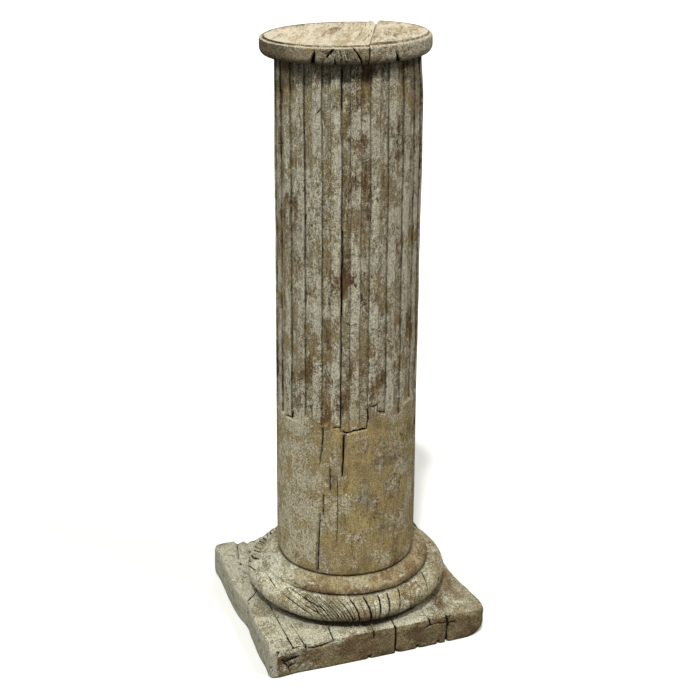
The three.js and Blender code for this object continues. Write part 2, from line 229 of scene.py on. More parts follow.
def tube_faces(rows, columns):
    """Quads up an upright tube, with one face under it and one over it."""
    rings = np.arange(rows * columns).reshape(rows, columns)
    faces = [quad for i in range(rows - 1) for quad in band_faces(rings[i], rings[i + 1]).tolist()]
    return faces + [rings[0][::-1].tolist(), rings[-1].tolist()]


def top_and_skirt(top_flat, ring_flat, top, levels):
    """Places of a top grid and of the rings below its rim, their heights, and 1 on the top but 0 below it."""
    count = len(top_flat)
    xy = np.concatenate([top_flat, ring_flat.reshape(-1, 2)])
    z = np.concatenate([np.full(count, top), np.repeat(levels, ring_flat.shape[1])])
    return xy, z, np.where(np.arange(len(xy)) < count, 1.0, 0.0)


def skirt_faces(start, levels, above):
    """Quads down from a top face's rim, and a face under them. start is the first vertex below the rim."""
    faces = []
    for ring in start + np.arange(levels * len(above)).reshape(levels, -1):
        faces += band_faces(ring, above).tolist()
        above = ring
    return faces + [above[::-1].tolist()]


def linked(name, data):
    thing = bpy.data.objects.new(name, data)
    bpy.context.collection.objects.link(thing)
    return thing


def make_piece(name, node, points, faces, cracks, fields, material):
    """A mesh object from points in millimetres, with one float attribute for each field."""
    mesh = bpy.data.meshes.new(name)
    mesh.from_pydata((points / 1000).tolist(), [], faces)
    mesh.polygons.foreach_set("use_smooth", np.ones(len(mesh.polygons), bool))
    fields = dict(fields, crack_side=cracks.side, crack_width=cracks.width)
    for key, values in fields.items():
        attribute = mesh.attributes.new(key, "FLOAT", "POINT")
        attribute.data.foreach_set("value", np.asarray(values, np.float32).ravel())
    mesh.materials.append(material)
    mesh.update()
    piece = linked(name, mesh)
    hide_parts(node)
    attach(piece, "root")
    return piece


# Materials

class Paint:
    """Builds one node material, a step at a time."""

    def __init__(self, name):
        self.material = bpy.data.materials.new(name)
        self.material.use_nodes = True
        self.tree = self.material.node_tree
        self.tree.nodes.clear()
        self.place = self.add("ShaderNodeTexCoord").outputs["Object"]

    def add(self, kind, sockets=(), **settings):
        """A new node, with its settings and a value or a link for each named or numbered socket."""
        node = self.tree.nodes.new(kind)
        for key, value in settings.items():
            setattr(node, key, value)
        for key, value in dict(sockets).items():
            self.put(node.inputs[key], value)
        return node

    def put(self, socket, value):
        if isinstance(value, bpy.types.NodeSocket):
            self.tree.links.new(value, socket)
        else:
            socket.default_value = value

    def math(self, operation, first, second=0.0, clamp=False):
        sockets = {0: first, 1: second}
        return self.add("ShaderNodeMath", sockets, operation=operation, use_clamp=clamp).outputs[0]

    def times(self, first, second, clamp=False):
        return self.math("MULTIPLY", first, second, clamp)

    def weighted(self, *terms):
        """The sum of values, each given with its weight."""
        result = self.times(*terms[0])
        for value, weight in terms[1:]:
            result = self.math("ADD", result, self.times(value, weight))
        return result

    def step(self, value, low, high, out_low=0.0, out_high=1.0):
        sockets = {"Value": value, "From Min": low, "From Max": high, "To Min": out_low, "To Max": out_high}
        return self.add("ShaderNodeMapRange", sockets, interpolation_type="SMOOTHSTEP").outputs["Result"]

    def stretched(self, scale, turn=0.0):
        sockets = {"Vector": self.place, "Rotation": (0, 0, math.radians(turn)), "Scale": scale}
        return self.add("ShaderNodeMapping", sockets, vector_type="TEXTURE").outputs["Vector"]

    def noise(self, vector, scale, detail, roughness):
        sockets = {"Vector": vector, "Scale": scale, "Detail": detail, "Roughness": roughness}
        return self.add("ShaderNodeTexNoise", sockets).outputs["Fac"]

    def blend(self, factor, first, second):
        return self.add("ShaderNodeMix", {0: factor, 2: first, 3: second}, data_type="FLOAT").outputs[0]

    def shade(self, color, amount):
        return self.add("ShaderNodeVectorMath", {0: color, "Scale": amount}, operation="SCALE").outputs[0]

    def field(self, name):
        return self.add("ShaderNodeAttribute", attribute_name=name).outputs["Fac"]

    def mix(self, factor, first, second):
        return self.add("ShaderNodeMix", {0: factor, 6: first, 7: second}, data_type="RGBA").outputs[2]

    def finish(self, color, roughness, height):
        bump = self.add("ShaderNodeBump", {"Strength": 0.8, "Distance": BUMP_DEPTH, "Height": height})
        shader = self.add("ShaderNodeBsdfPrincipled", {
            "Normal": bump.outputs["Normal"], "Base Color": color, "Roughness": roughness,
            "Specular IOR Level": 0.25})
        self.add("ShaderNodeOutputMaterial", {"Surface": shader.outputs["BSDF"]})
        return self.material


def srgb(red, green, blue):
    """A colour given as screen values from 0 to 255."""
    def linear(value):
        share = value / 255
        return share / 12.92 if share <= 0.04045 else ((share + 0.055) / 1.055) ** 2.4
    return (linear(red), linear(green), linear(blue), 1.0)


# Near-black painted shade for the inside of cracks and the corners of the flutes.
CRACK_SHADE = srgb(15, 13, 10)
# How deep the finest grain looks, in metres.
BUMP_DEPTH = 0.003

# Colours of the chalky wash, the thin film it leaves, two woods under it, the dirt on it, which also paints
# shade in pits, hollows, creases and joints, and, on the shaft, the yellow wood below its flutes.
TONE_NAMES = ("chalk", "film", "brown", "ochre", "dirt", "bare")
SHAFT_TONES = ((203, 197, 176), (166, 154, 125), (120, 93, 62), (158, 135, 90), (58, 49, 38), (190, 169, 116))
BASE_TONES = ((200, 196, 174), (167, 159, 130), (126, 104, 74), (160, 145, 110), (66, 59, 46))
PLINTH_TONES = ((188, 184, 163), (154, 147, 120), (114, 94, 65), (146, 131, 96), (62, 54, 42))
CAP_TONES = ((200, 191, 169), (172, 158, 128), (118, 99, 72), (167, 147, 108), (66, 58, 46))


def along_grain(stretch, grain):
    """The stretch of a noise along the wood's grain axis, 0, 1 or 2."""
    return tuple(stretch if axis == grain else 1 for axis in range(3))


def washed_wood(name, grain, tones, turn=0.0, chalk=0.35, film=0.6, dirt=0.2, flutes=False, calm=False):
    """Weathered wood under the remains of a chalky wash. grain is the axis that the wood's streaks follow;
    chalk, film and dirt are the shares of the surface that they cover. With calm, the part that isn't plain
    is smoother and more even."""
    paint = Paint(name)
    tones = {key: srgb(*color) for key, color in zip(TONE_NAMES, tones)}
    streaked = paint.stretched(along_grain(9, grain), turn)
    longer = paint.stretched(along_grain(4 if calm else 1.6, grain), turn)
    plain = paint.field("plain")
    patches = paint.blend(plain, paint.noise(longer, 42, 9, 0.7), paint.noise(paint.place, 30, 9, 0.68))
    flakes = paint.blend(plain, paint.noise(longer, 210, 5, 0.78), paint.noise(paint.place, 190, 5, 0.76))
    streaks = paint.noise(streaked, 150, 4, 0.6)
    threads = paint.noise(streaked, 400, 2, 0.55)
    crumbs = paint.noise(paint.place, 620, 2, 0.7)
    broad = paint.noise(paint.place, 7, 3, 0.5)
    drift = paint.noise(longer, 16, 5, 0.6)
    spots = paint.noise(longer, 85, 7, 0.75)
    warmth = paint.noise(longer, 24, 6, 0.6)
    # The bias mostly sets how much wash the wood keeps; in places it is painted light, on lit arrises and on
    # the plinth's left face.
    bias = paint.field("wash_and_light_bias")

    cover = paint.weighted(
        (patches, paint.blend(plain, 0.4, 0.42)), (flakes, paint.blend(plain, 0.26, 0.3)), (crumbs, 0.2),
        (streaks, paint.blend(plain, 0.06, 0.0)), (broad, 0.14), (bias, 0.2),
    )
    thin = paint.weighted((drift, 0.42), (patches, 0.24), (streaks, 0.12), (flakes, 0.24), (bias, 0.15))
    chalk_from = 0.527 + 0.19 * (0.5 - chalk)
    film_from = 0.51 + 0.19 * (0.5 - film)
    thick_wash = paint.step(cover, chalk_from - 0.02, chalk_from + 0.03, 0.0, 0.95)
    thin_wash = paint.step(thin, film_from - 0.05, film_from + 0.05, 0.0, 0.9)

    ochre = paint.math("ADD", warmth, paint.times(paint.field("warm"), 0.16))
    wood = paint.mix(paint.step(ochre, 0.44, 0.58), tones["brown"], tones["ochre"])
    if flutes:
        bare = paint.times(plain, paint.step(broad, 0.36, 0.52, 0.45, 1.0))
        bare = paint.times(bare, paint.step(ochre, 0.5, 0.64, 0.05, 1.0))
        wood = paint.mix(bare, wood, tones["bare"])
    marked = paint.blend(plain, 1.0, 0.35)
    for marks, ends_at, share in ((streaks, 0.56, 0.5), (threads, 0.52, 0.4)):
        dark = paint.times(marked, paint.step(marks, 0.36, ends_at, share, 0.0))
        wood = paint.mix(dark, wood, tones["dirt"])
    film_color = paint.mix(paint.step(ochre, 0.4, 0.62, 0.0, 0.55), tones["film"], tones["ochre"])
    if flutes:
        film_color = paint.mix(paint.times(bare, 0.5), film_color, tones["bare"])
    color = paint.mix(thin_wash, wood, film_color)
    chalk_color = tones["chalk"]
    if flutes:
        chalk_color = paint.mix(paint.times(plain, 0.25), tones["chalk"], tones["bare"])
    color = paint.mix(thick_wash, color, chalk_color)
    dirt_from = 0.5 - 0.2 * (0.5 - dirt)
    dirty = paint.step(spots, dirt_from - 0.09, dirt_from, 0.8, 0.0)
    dirty = paint.times(dirty, paint.step(drift, 0.4, 0.56, 1.0, 0.25))
    color = paint.mix(dirty, color, tones["dirt"])
    value = paint.weighted((crumbs, 0.6), (threads, 0.15), (flakes, 0.25))
    speckle = paint.blend(plain, 0.25, 1.0) if calm else 1.0
    lighter = paint.times(speckle, paint.step(value, 0.39, 0.61, -0.52, 0.5))
    color = paint.shade(color, paint.math("ADD", 1.0, lighter))

    # The mask below darkens towards the dirt tone: partly real dirt and stains, partly painted shade in pits,
    # hollows, creases and joints.
    broken = paint.step(spots, 0.36, 0.56, 0.45, 1.0)
    grime_and_shade = paint.times(paint.field("grime_and_shade"), broken, clamp=True)
    color = paint.mix(grime_and_shade, color, tones["dirt"])
    # Painted shade: a near-black line along the flutes' corners.
    if flutes:
        edge = paint.math("ABSOLUTE", paint.field("corner"))
        line = paint.step(edge, 0.1, 0.95, 0.9, 0.0)
        line = paint.times(line, paint.field("corner_shade"), clamp=True)
        line = paint.times(line, paint.step(spots, 0.42, 0.58, 1.0, 0.3), clamp=True)
        color = paint.mix(line, color, CRACK_SHADE)
    # Painted shade: a crack's middle is painted near-black, as the shade deep inside it.
    off_middle = paint.math("ABSOLUTE", paint.field("crack_side"))
    inside = paint.math("SUBTRACT", paint.field("crack_width"), off_middle)
    color = paint.mix(paint.step(inside, -0.25, 0.3), color, CRACK_SHADE)

    height = paint.weighted((thick_wash, 0.3), (streaks, 0.5), (threads, 0.4), (crumbs, 1.0), (flakes, 1.1))
    height = paint.times(height, speckle)
    roughness = paint.step(cover, 0.42, 0.6, 0.78, 0.95)
    return paint.finish(color, roughness, height)


# Shaft

FLUTES = 24
FLUTE_PITCH = 360 / FLUTES
FLUTE_HALF = 8.1
FLUTE_DEPTH = 3.9
# The middle of flute 0, low on the shaft and at its top, where the flutes turn a little.
FLUTE_TURN = ((850, -1.4), (960, -2.3))
SHAFT_RADII = ((131, 126.4), (1035.5, 121.6))
# Where each flute that shows ends: heights across it, counted from flute 0 on the weathered side.
FLUTE_ENDS = {
    -4: (421, 420), -3: (422, 419), -2: (437, 431), -1: (424, 430), 0: (415, 415),
    1: (417, 418, 458), 2: (446, 443, 441), 3: (436, 430), 4: (440, 452),
}
# Paths in degrees and millimetres, then the width and the depth.
SHAFT_CRACKS = (
    (((-5, 1030), (-5.6, 1003), (-5.4, 962)), (1.8, 1.2), 9),
    (((-5.4, 965), (-4.6, 905), (-4.6, 770)), 0.5, 4),
    (((-4.6, 772), (-4, 758), (-4.7, 743)), 1.5, 10),
    (((-4.7, 745), (-3.9, 722), (-5.2, 690), (-4.5, 650), (-5.2, 610)), (0.9, 2.1), 20),
    (((-5.2, 612), (-4.5, 560), (-5, 500), (-4.7, 414)), (1.3, 1.1), 14),
    (((-4.8, 416), (0, 413), (3, 414), (6, 417), (10, 417), (16, 418.5), (17.3, 432), (17.6, 459)), 2.6, 8),
    (((17.6, 460), (22, 459), (26, 461), (26.6, 447), (29, 444), (32.5, 443)), 1.7, 5),
    (((-1.6, 413), (-2.4, 370), (-3, 326)), 2.9, 14),
    (((-4.4, 423), (-8, 423.5), (-11, 421)), 1.5, 4),
    (((-19, 424), (-19.2, 400), (-19.6, 390), (-21.4, 350)), 1.3, 8),
    (((-13, 346), (-12.6, 298)), 1.5, 8),
    (((-18, 292), (-18.6, 246)), 1.5, 8),
    (((-21, 254), (-22.6, 200), (-23.5, 130)), 2.8, 18),
    (((-7, 332), (-6.4, 260), (-7.2, 188)), 1.0, 5),
    (((50, 312), (49.6, 276)), 1.6, 6),
    (((-1.5, 612), (3, 609.5), (7, 611)), 1.3, 4),
    (((-23, 533), (-16, 538)), 1.2, 4),
    (((-60, 419), (-55, 422), (-50, 421), (-49.4, 434)), 2.2, 5),
    (((-42, 499), (-37, 503)), 1.4, 4),
    (((-37, 848), (-33, 850)), 1.2, 3),
    (((-69, 895), (-62, 899)), 1.7, 4),
    (((-24, 958), (-21.5, 966)), 1.8, 4),
    (((-43, 763), (-38, 766)), 1.4, 4),
    (((142, 880), (141, 660), (143, 470), (141.5, 300)), 2.4, 16),
    (((-118, 560), (-117, 330), (-119, 160)), 2.2, 14),
    (((98, 420), (97, 250)), 1.6, 8),
    (((-160, 700), (-161, 520)), 1.4, 8),
)


# Lengths round the shaft are measured at this radius. The grid follows the cracks that are at least so
# deep and so long.
SHAFT_ARC_RADIUS = 124.0
GRID_FOLLOWS = {"depth": 8, "length": 40}
# Above this height the rows slide up or down to the cap's leaning underside.
SHAFT_NECK = 1000
# The wood turns from plain to fluted between these heights.
PLAIN_TO_FLUTED = (405, 470)
# The most that a crack goes into the shaft's mesh.
SHAFT_CRACK_LIMIT = 14


def shaft_rows():
    """Heights of the grid's rows: close together at the flutes' ragged ends."""
    stretches = ((SHAFT_FOOT, 402, 48), (402, 470, 36), (470, SHAFT_NECK, 82), (SHAFT_NECK, CAP_FOOT, 9))
    parts = [np.linspace(a, b, n, endpoint=False) for a, b, n in stretches]
    return np.append(np.concatenate(parts), CAP_FOOT)


def shaft_columns():
    """Angles of the grid's columns: close together at the flutes' edges."""
    shares = np.array([0, 0.036, 0.09, 0.17, 0.28, 0.42, 0.58, 0.72, 0.83, 0.91, 0.964])
    edges = (np.arange(2 * FLUTES) - FLUTES - 0.5) * FLUTE_PITCH / 2
    return (edges[:, None] + shares[None, :] * FLUTE_PITCH / 2).ravel()


def flute_turn(height):
    return np.interp(height, *np.array(FLUTE_TURN).T)


def shaft_flutes(angle, height, arc):
    """Depth of the flutes, the signed distance to the nearest flute edge, how far the flutes are open here,
    which side of the column the edge faces, and a tone for each strip."""
    turned = angle - flute_turn(height)
    number = np.round(turned / FLUTE_PITCH)
    local = (turned - number * FLUTE_PITCH) * arc
    side = np.sign(local)
    wander = 0.7 * noise(height / 70, number * 3.3 + side, seed=11)
    chips = np.clip(noise(height / 17, number * 5.1 + side, seed=12) - 0.42, 0, 1) * 6
    chips = chips + np.clip(noise(height / 6, number * 5.1 + side, seed=13) - 0.5, 0, 1) * 3
    inside = FLUTE_HALF - np.abs(local) + wander + chips
    ends = np.full(angle.shape, 437.0) + 22 * np.sin(number * 2.7) * (1 - 0.02 * local)
    for key, heights in FLUTE_ENDS.items():
        across = np.linspace(-FLUTE_HALF, FLUTE_HALF, len(heights))
        ends = np.where(number == key, np.interp(local, across, heights), ends)
    ends = ends + 2.5 * noise(local / 4, number * 2.2, seed=14)
    open_share = smooth(-1.2, 1.2, height - ends)
    worn = 1 - 0.35 * smooth(0.1, 0.7, noise(height / 120, number * 1.7, seed=15))
    hollow = smooth(-0.6, 1.0, inside) * open_share * worn
    strip = 2 * number + np.where(inside < 0, side, 0)
    tone = noise(height / 210, strip * 3.7, seed=16)
    tone = tone + 0.6 * noise(height / 60, strip * 5.3, seed=17)
    return FLUTE_DEPTH * hollow, inside, open_share, side * np.sign(number + 0.01 * side), tone


def shaft():
    rows = shaft_rows()
    columns = shaft_columns()
    height, angle = np.meshgrid(rows, columns, indexing="ij")
    angle = angle + flute_turn(height)
    radius = np.interp(height, *np.array(SHAFT_RADII).T)
    arc = math.radians(1) * SHAFT_ARC_RADIUS
    lines = angle * arc
    cracks_in_mm = [([(a * arc, z) for a, z in path], width, depth) for path, width, depth in SHAFT_CRACKS]
    for path, width, depth in cracks_in_mm:
        if depth >= GRID_FOLLOWS["depth"] and np.ptp([z for a, z in path]) >= GRID_FOLLOWS["length"]:
            lines = drawn_to(lines, across_at(path, rows), reach=6.0)
    angle = lines / arc

    flute_depth, inside, fluted, outer_side, tone = shaft_flutes(angle, height, arc)
    cracks = Cracks(angle.shape)
    for path, width, depth in cracks_in_mm:
        cracks.add(lines, height, path, width, depth, wander=0.9)

    # Angles wrap round, so the noise is read on the cylinder itself.
    turn = np.radians(angle)
    x, y = np.cos(turn), np.sin(turn)
    grain = 0.32 * fractal(x * 40, y * 40, height / 60, seed=21)
    grain += 0.22 * noise(x * 85, y * 85, height / 45, seed=22)
    swell = 0.9 * fractal(x * 2.2, y * 2.2, height / 150, seed=23, octaves=2)
    pits = 2.4 * np.clip(fractal(x * 15, y * 15, height / 13, seed=24) - 0.95, 0, 1)
    shoulder = 4.5 * smooth(965, 1036, height) * bell(angle, 80, 38)
    foot = 1.2 * smooth(150, 131, height)
    inward = flute_depth + np.minimum(cracks.depth, SHAFT_CRACK_LIMIT) - grain - swell
    inward = inward + pits + shoulder + foot

    radius = radius - inward
    local_x = radius * x
    local_y = radius * y
    ceiling = CAP_FOOT + CAP_HIGH_SHIFT + local_y * math.tan(math.radians(CAP_LEAN)) - GAP
    above = np.clip((height - SHAFT_NECK) / (rows[-1] - SHAFT_NECK), 0, 1)
    height_out = height + above * (ceiling - rows[-1])
    local_y = local_y + (height_out - SHAFT_LEAN_FROM) * math.tan(math.radians(SHAFT_LEAN))
    points = weathered_to_row(local_x, local_y, height_out).reshape(-1, 3)


    upper = smooth(*PLAIN_TO_FLUTED, height)
    raised = smooth(1.0, -1.0, inside) * fluted
    wash_and_light_bias = 0.09 * raised - 0.06 * smooth(0.5, 2.5, inside) * fluted + 0.1 * tone * upper
    wash_and_light_bias += 0.17 * fractal(x * 3, y * 3, height / 50, seed=25)
    wash_and_light_bias += 0.06 * bell(angle, 60, 35) + 0.03
    wash_and_light_bias += (1 - upper) * (0.12 * bell(angle, -45, 30) - 0.12 * bell(angle, 18, 26))
    # Painted shade along the flutes' edges, in the pits and at the joint at the shaft's foot; the stains
    # below are dirt.
    grime_and_shade = 0.5 * smooth(2.8, 0.2, inside) * smooth(-0.5, 0.2, inside) * fluted
    grime_and_shade += 0.35 * smooth(0, 1, pits) + 0.2 * smooth(150, 131, height) + 0.6 * smooth(133.5, 131.5, height)
    stains = smooth(0.15, 0.7, fractal(x * 2.6, y * 2.6, height / 38, seed=28)) * bell(angle, 32, 40)
    grime_and_shade += 0.45 * (1 - upper) * stains
    # Painted shade darkens the step where each flute ends.
    grime_and_shade += 0.5 * bell(fluted, 0.5, 0.3) * smooth(-0.6, 1, inside)
    # Painted shade in the flutes' corners, a little darker on the edge away from flute 0.
    corner_shade = fluted * np.clip(
        0.55 + 0.15 * outer_side + 0.8 * noise(height / 110, angle / 7.5, seed=26)
        + 0.6 * noise(height / 24, angle / 7.5, seed=27), 0, 1)
    fields = {
        "wash_and_light_bias": wash_and_light_bias, "grime_and_shade": grime_and_shade, "corner": inside - 0.35, "corner_shade": corner_shade,
        "plain": 1 - upper, "warm": 0.9 * (1 - upper) - 0.1 + 0.25 * bell(angle, -60, 40),
    }
    material = washed_wood("weathered_shaft", 2, SHAFT_TONES, chalk=0.38, film=0.62, flutes=True)
    faces = tube_faces(*angle.shape)
    return make_piece("fluted_shaft", "shaft", points, faces, cracks, fields, material)


# The cap's own frame leans about its X, so its underside at the axis is above the lowest point.
CAP_RADIUS = 140.5
CAP_HIGH_SHIFT = CAP_RADIUS * math.tan(math.radians(CAP_LEAN)) * 0.925


# Base moulding

TORUS_RADIUS = 150.0
TORUS_OUT = 35.0
TORUS_UP = 24.0
TORUS_HEIGHT = 84.0
TORUS_ARC_RADIUS = 165
QUIRK = TORUS_HEIGHT + TORUS_UP
MOULDING_TOP = float(MOULDING_HIGH[2])
# Checks across the front of the torus: where each starts at the ring and where it ends low down, counted
# across from the axis, then its width.
TORUS_CHECKS_FRONT = (
    (-124, -101, 1.5), (-119, -94.5, 1.1), (-113, -88, 1.7), (-107, -82.5, 1.1), (-101, -77, 1.4),
    (-96, -72, 1.7), (-89, -67, 1.1), (-83, -62, 1.6), (-75, -57, 1.2), (-67, -51, 2.0), (-56, -46, 1.0),
    (-46, -38, 2.8),
    (-34, -28, 1.0), (-21.5, -16, 3.2), (-8, -8, 1.0), (5.5, 1, 2.8), (24, 18, 2.8), (47.5, 39, 2.3),
    (70, 64, 1.0), (109, 106, 2.6),
)
TORUS_CHECKS_BACK = (
    (-131, -124, 1.6), (-121, -117, 1.0), (-112, -108, 1.6), (-96, -94, 1.5), (-85, -82, 0.9),
    (-74, -76, 1.6), (-51, -48, 1.4), (-22, -22, 1.6), (14, 12, 1.6), (47, 43, 1.4), (65, 61, 0.9),
    (83, 80, 1.6), (109, 102, 1.4),
)
# Short checks round the left of the torus: angle and height low down and high up, then the width. The long
# ones run along it from the ring's edge.
TORUS_NICKS = (
    (-121.5, 101.5, -114, 106.8, 1.6), (-117, 102, -110, 106.8, 1.6), (-112, 102, -105, 106.8, 1.8),
    (-109, 100, -102, 106.8, 2.8), (-106.5, 99.5, -99.5, 106.4, 1.6), (-103.5, 96.5, -94, 106.4, 1.8),
    (-98.5, 98, -90, 106.4, 1.8), (-93, 95.5, -83, 104.6, 2.8), (-90, 89.6, -84, 97.3, 1.6),
    (-83, 91, -73, 100.6, 1.8),
)
TORUS_LONG_CHECKS = (
    (((-79, 108), (-60, 109), (-43, 107.5), (-33, 106.5), (-24.6, 104), (-14.5, 98), (-9, 92)), 2.2, 5),
    (((-40.5, 101.5), (-29, 95), (-21.5, 86), (-18, 78)), 1.8, 4),
    (((-25, 98), (-16.5, 90), (-11, 80), (-9, 72)), 1.8, 4),
    (((-70, 106), (-58, 104.5), (-48, 103)), 1.2, 2.5),
)


def moulding_profile():
    """(radius, height) from the neck over the plinth, round the torus, in at the quirk and up the ring."""
    bottom = MOULDING_LOW[2]
    points = [(150, bottom), (151.5, bottom + 0.6), (152, bottom + 2.5), (152.5, 60)]
    for turn in np.linspace(-65, 80, 62):
        points.append((TORUS_RADIUS + TORUS_OUT * math.cos(math.radians(turn)),
                       TORUS_HEIGHT + TORUS_UP * math.sin(math.radians(turn))))
    points += [(153.5, 107.8), (151, 107.6), (149, 107.7), (148.2, 108.2), (149, 108.8), (151.3, 109.1)]
    ring = [(152.5, 109.8), (153, 113), (152.9, 117), (151.4, 120.4), (148, 123.6), (141, 126.6),
            (134.5, 129.2), (129.5, MOULDING_TOP - 0.2), (126.5, MOULDING_TOP)]
    ring = np.array(ring)
    length = np.append(0, np.cumsum(np.linalg.norm(np.diff(ring, axis=0), axis=1)))
    for place in np.linspace(0, length[-1], 30):
        points.append((np.interp(place, length, ring[:, 0]), np.interp(place, length, ring[:, 1])))
    return np.array(points)


def torus_checks(cracks, x, y, height, along, share):
    """Lays the checks across the torus, and gives how far the wood falls away beside them."""
    pillow = np.zeros(x.shape)
    for checks, side in ((TORUS_CHECKS_FRONT, -1), (TORUS_CHECKS_BACK, 1)):
        for place_top, place_low, width in checks:
            place = place_low + (place_top - place_low) * share
            thin = np.clip((1.6 - width) / 0.8, 0, 1)
            down = -0.62 + 0.5 * thin * abs(math.sin(place_top * 1.7))
            up = 1.0 - 0.35 * thin * abs(math.sin(place_top * 2.9))
            across = x - place - 1.1 * noise(along / 13, place_top, seed=31)
            here = (np.abs(across) < 9) & (y * side > 0) & (height < QUIRK + 0.3)
            ends = smooth(down, down + 0.2, share) * (1 - smooth(up - 0.1, up, share))
            half = width / 2 * ends * (1 + 0.35 * noise(along / 8, place_top, seed=32))
            groove = (1.8 + 1.7 * width) * ends * np.clip(1 - np.abs(across) / (half + 0.8), 0, 1)
            cracks.lay(here, across[here], half[here], groove[here])
            hollow = np.exp(-np.abs(across) / 2.8) * ends * (0.35 + 0.45 * width)
            pillow = np.where(here, np.maximum(pillow, hollow), pillow)
    return pillow


def base_moulding():
    profile = moulding_profile()
    front = np.linspace(-250, -2, 730, endpoint=False)
    rest = np.linspace(-2, 110, 120, endpoint=False)
    turn = np.concatenate([front, rest])
    radius = np.repeat(profile[:, :1], len(turn), axis=1)
    height = np.repeat(profile[:, 1:], len(turn), axis=1)
    angle = np.repeat(turn[None, :], len(profile), axis=0)
    x = radius * np.cos(np.radians(angle))
    y = radius * np.sin(np.radians(angle))
    slope = np.gradient(profile, axis=0)
    normal = np.stack([slope[:, 1], -slope[:, 0]], axis=1)
    normal /= np.linalg.norm(normal, axis=1)[:, None]

    # On the worn side the ring has been rubbed down until it runs into the torus.
    weathered = (angle - WEATHERED_SIDE + 180) % 360 - 180
    worn = smooth(-128, -100, weathered) * (1 - smooth(-60, -12, weathered))
    level = height - QUIRK
    ramp = np.interp(level, (-5, MOULDING_TOP - QUIRK), (163, 127))
    on_ring = smooth(-6, -3, level) * smooth(126.8, 130, radius)
    radius = radius + 0.75 * worn * on_ring * (ramp - radius)

    cracks = Cracks(angle.shape)
    on_torus = smooth(62, 66, height) * (1 - smooth(QUIRK - 2, QUIRK + 0.2, height))
    steps = np.linalg.norm(np.diff(profile, axis=0), axis=1)
    along = np.repeat(np.append(0, np.cumsum(steps))[:, None], len(turn), axis=1)
    torus_rows = np.flatnonzero((profile[:, 1] < QUIRK + 0.1) & (profile[:, 0] > 153))

    def run_at(level):
        """How far along the profile the torus's outer face reaches a height."""
        return np.interp(level, profile[torus_rows, 1], along[torus_rows, 0])

    low_run, top_run = run_at(80), run_at(QUIRK)
    share = (along - low_run) / (top_run - low_run)
    pillow = torus_checks(cracks, x, y, height, along, share)

    arc = math.radians(1) * TORUS_ARC_RADIUS
    lines = weathered * arc
    for low_angle, low_height, top_angle, top_height, width in TORUS_NICKS:
        ends = [(low_angle * arc, run_at(low_height)), (top_angle * arc, run_at(top_height))]
        cracks.add(lines, along, ends, width, 2 * width, open_start=True)
    for path, width, depth in TORUS_LONG_CHECKS:
        cracks.add(lines, along, [(a * arc, run_at(h)) for a, h in path], width, depth)

    end_grain = np.abs(np.sin(np.radians(angle)))
    rough = 0.4 * fractal(x / 5, y / 18, height / 5, seed=33)
    rough += 0.5 * end_grain ** 2 * on_torus * noise(x / 2.6, y / 40, height / 30, seed=34)
    swell = 0.9 * fractal(x / 55, y / 55, height / 45, seed=35, octaves=2)
    pits = 2.2 * np.clip(fractal(x / 9, y / 15, height / 7, seed=36) - 0.9, 0, 1)
    inward = np.minimum(cracks.depth + pillow, 6.5) - rough + swell + 0.9 + pits
    inward = np.where(profile[:, 1:] < 56.5, np.clip(inward, 0, 1), inward)
    seat = smooth(MOULDING_TOP - 1.5, MOULDING_TOP - 0.1, height)
    inward = inward * (1 - seat)
    radius_out = radius - inward * normal[:, :1]
    height_out = np.minimum(height - inward * normal[:, 1:], MOULDING_TOP)
    points = np.stack([
        AXIS[0] + radius_out * np.cos(np.radians(angle)),
        AXIS[1] + radius_out * np.sin(np.radians(angle)),
        np.maximum(height_out, MOULDING_LOW[2]),
    ], axis=-1).reshape(-1, 3)

    # Painted highlight, with some chalk: a pale broken line along the ring's rounded arris.
    arris_chalk_and_highlight = bell(height, 123.5, 1.6) * smooth(QUIRK + 2, QUIRK + 6, height)
    arris_chalk_and_highlight = arris_chalk_and_highlight * smooth(-0.1, 0.6, noise(x / 16, y / 16, seed=38))
    wash_and_light_bias = 0.1 + 0.35 * arris_chalk_and_highlight + 0.12 * fractal(x / 60, y / 60, height / 30, seed=37)
    wash_and_light_bias += 0.16 * bell(weathered, -75, 45) - 0.1 * end_grain ** 3 * on_torus
    wash_and_light_bias -= 0.05 * bell(weathered, 60, 40)
    wash_and_light_bias -= 0.45 * smooth(QUIRK, QUIRK + 2, height) * (1 - worn) * (1 - arris_chalk_and_highlight)
    # Painted shade: in the quirk between ring and torus, under the torus above the plinth, where the shaft
    # stands in the ring and in the pits.
    grime_and_shade = 0.9 * bell(height, QUIRK - 0.2, 1.3) * smooth(156, 151, radius) * (1 - worn)
    grime_and_shade += 0.55 * smooth(70, 60, height) + 0.3 * smooth(129.5, 127.5, radius) + 0.4 * smooth(0, 1, pits)
    fields = {"wash_and_light_bias": wash_and_light_bias, "grime_and_shade": np.clip(grime_and_shade, 0, 1), "plain": np.ones(angle.shape),
              "warm": -0.15 * bell(level, 12, 12)}
    material = washed_wood("weathered_moulding", 1, BASE_TONES, chalk=0.36, film=0.62)
    faces = tube_faces(*angle.shape)
    return make_piece("turned_base_moulding", "base_moulding", points, faces, cracks, fields,
                      material)


# Plinth

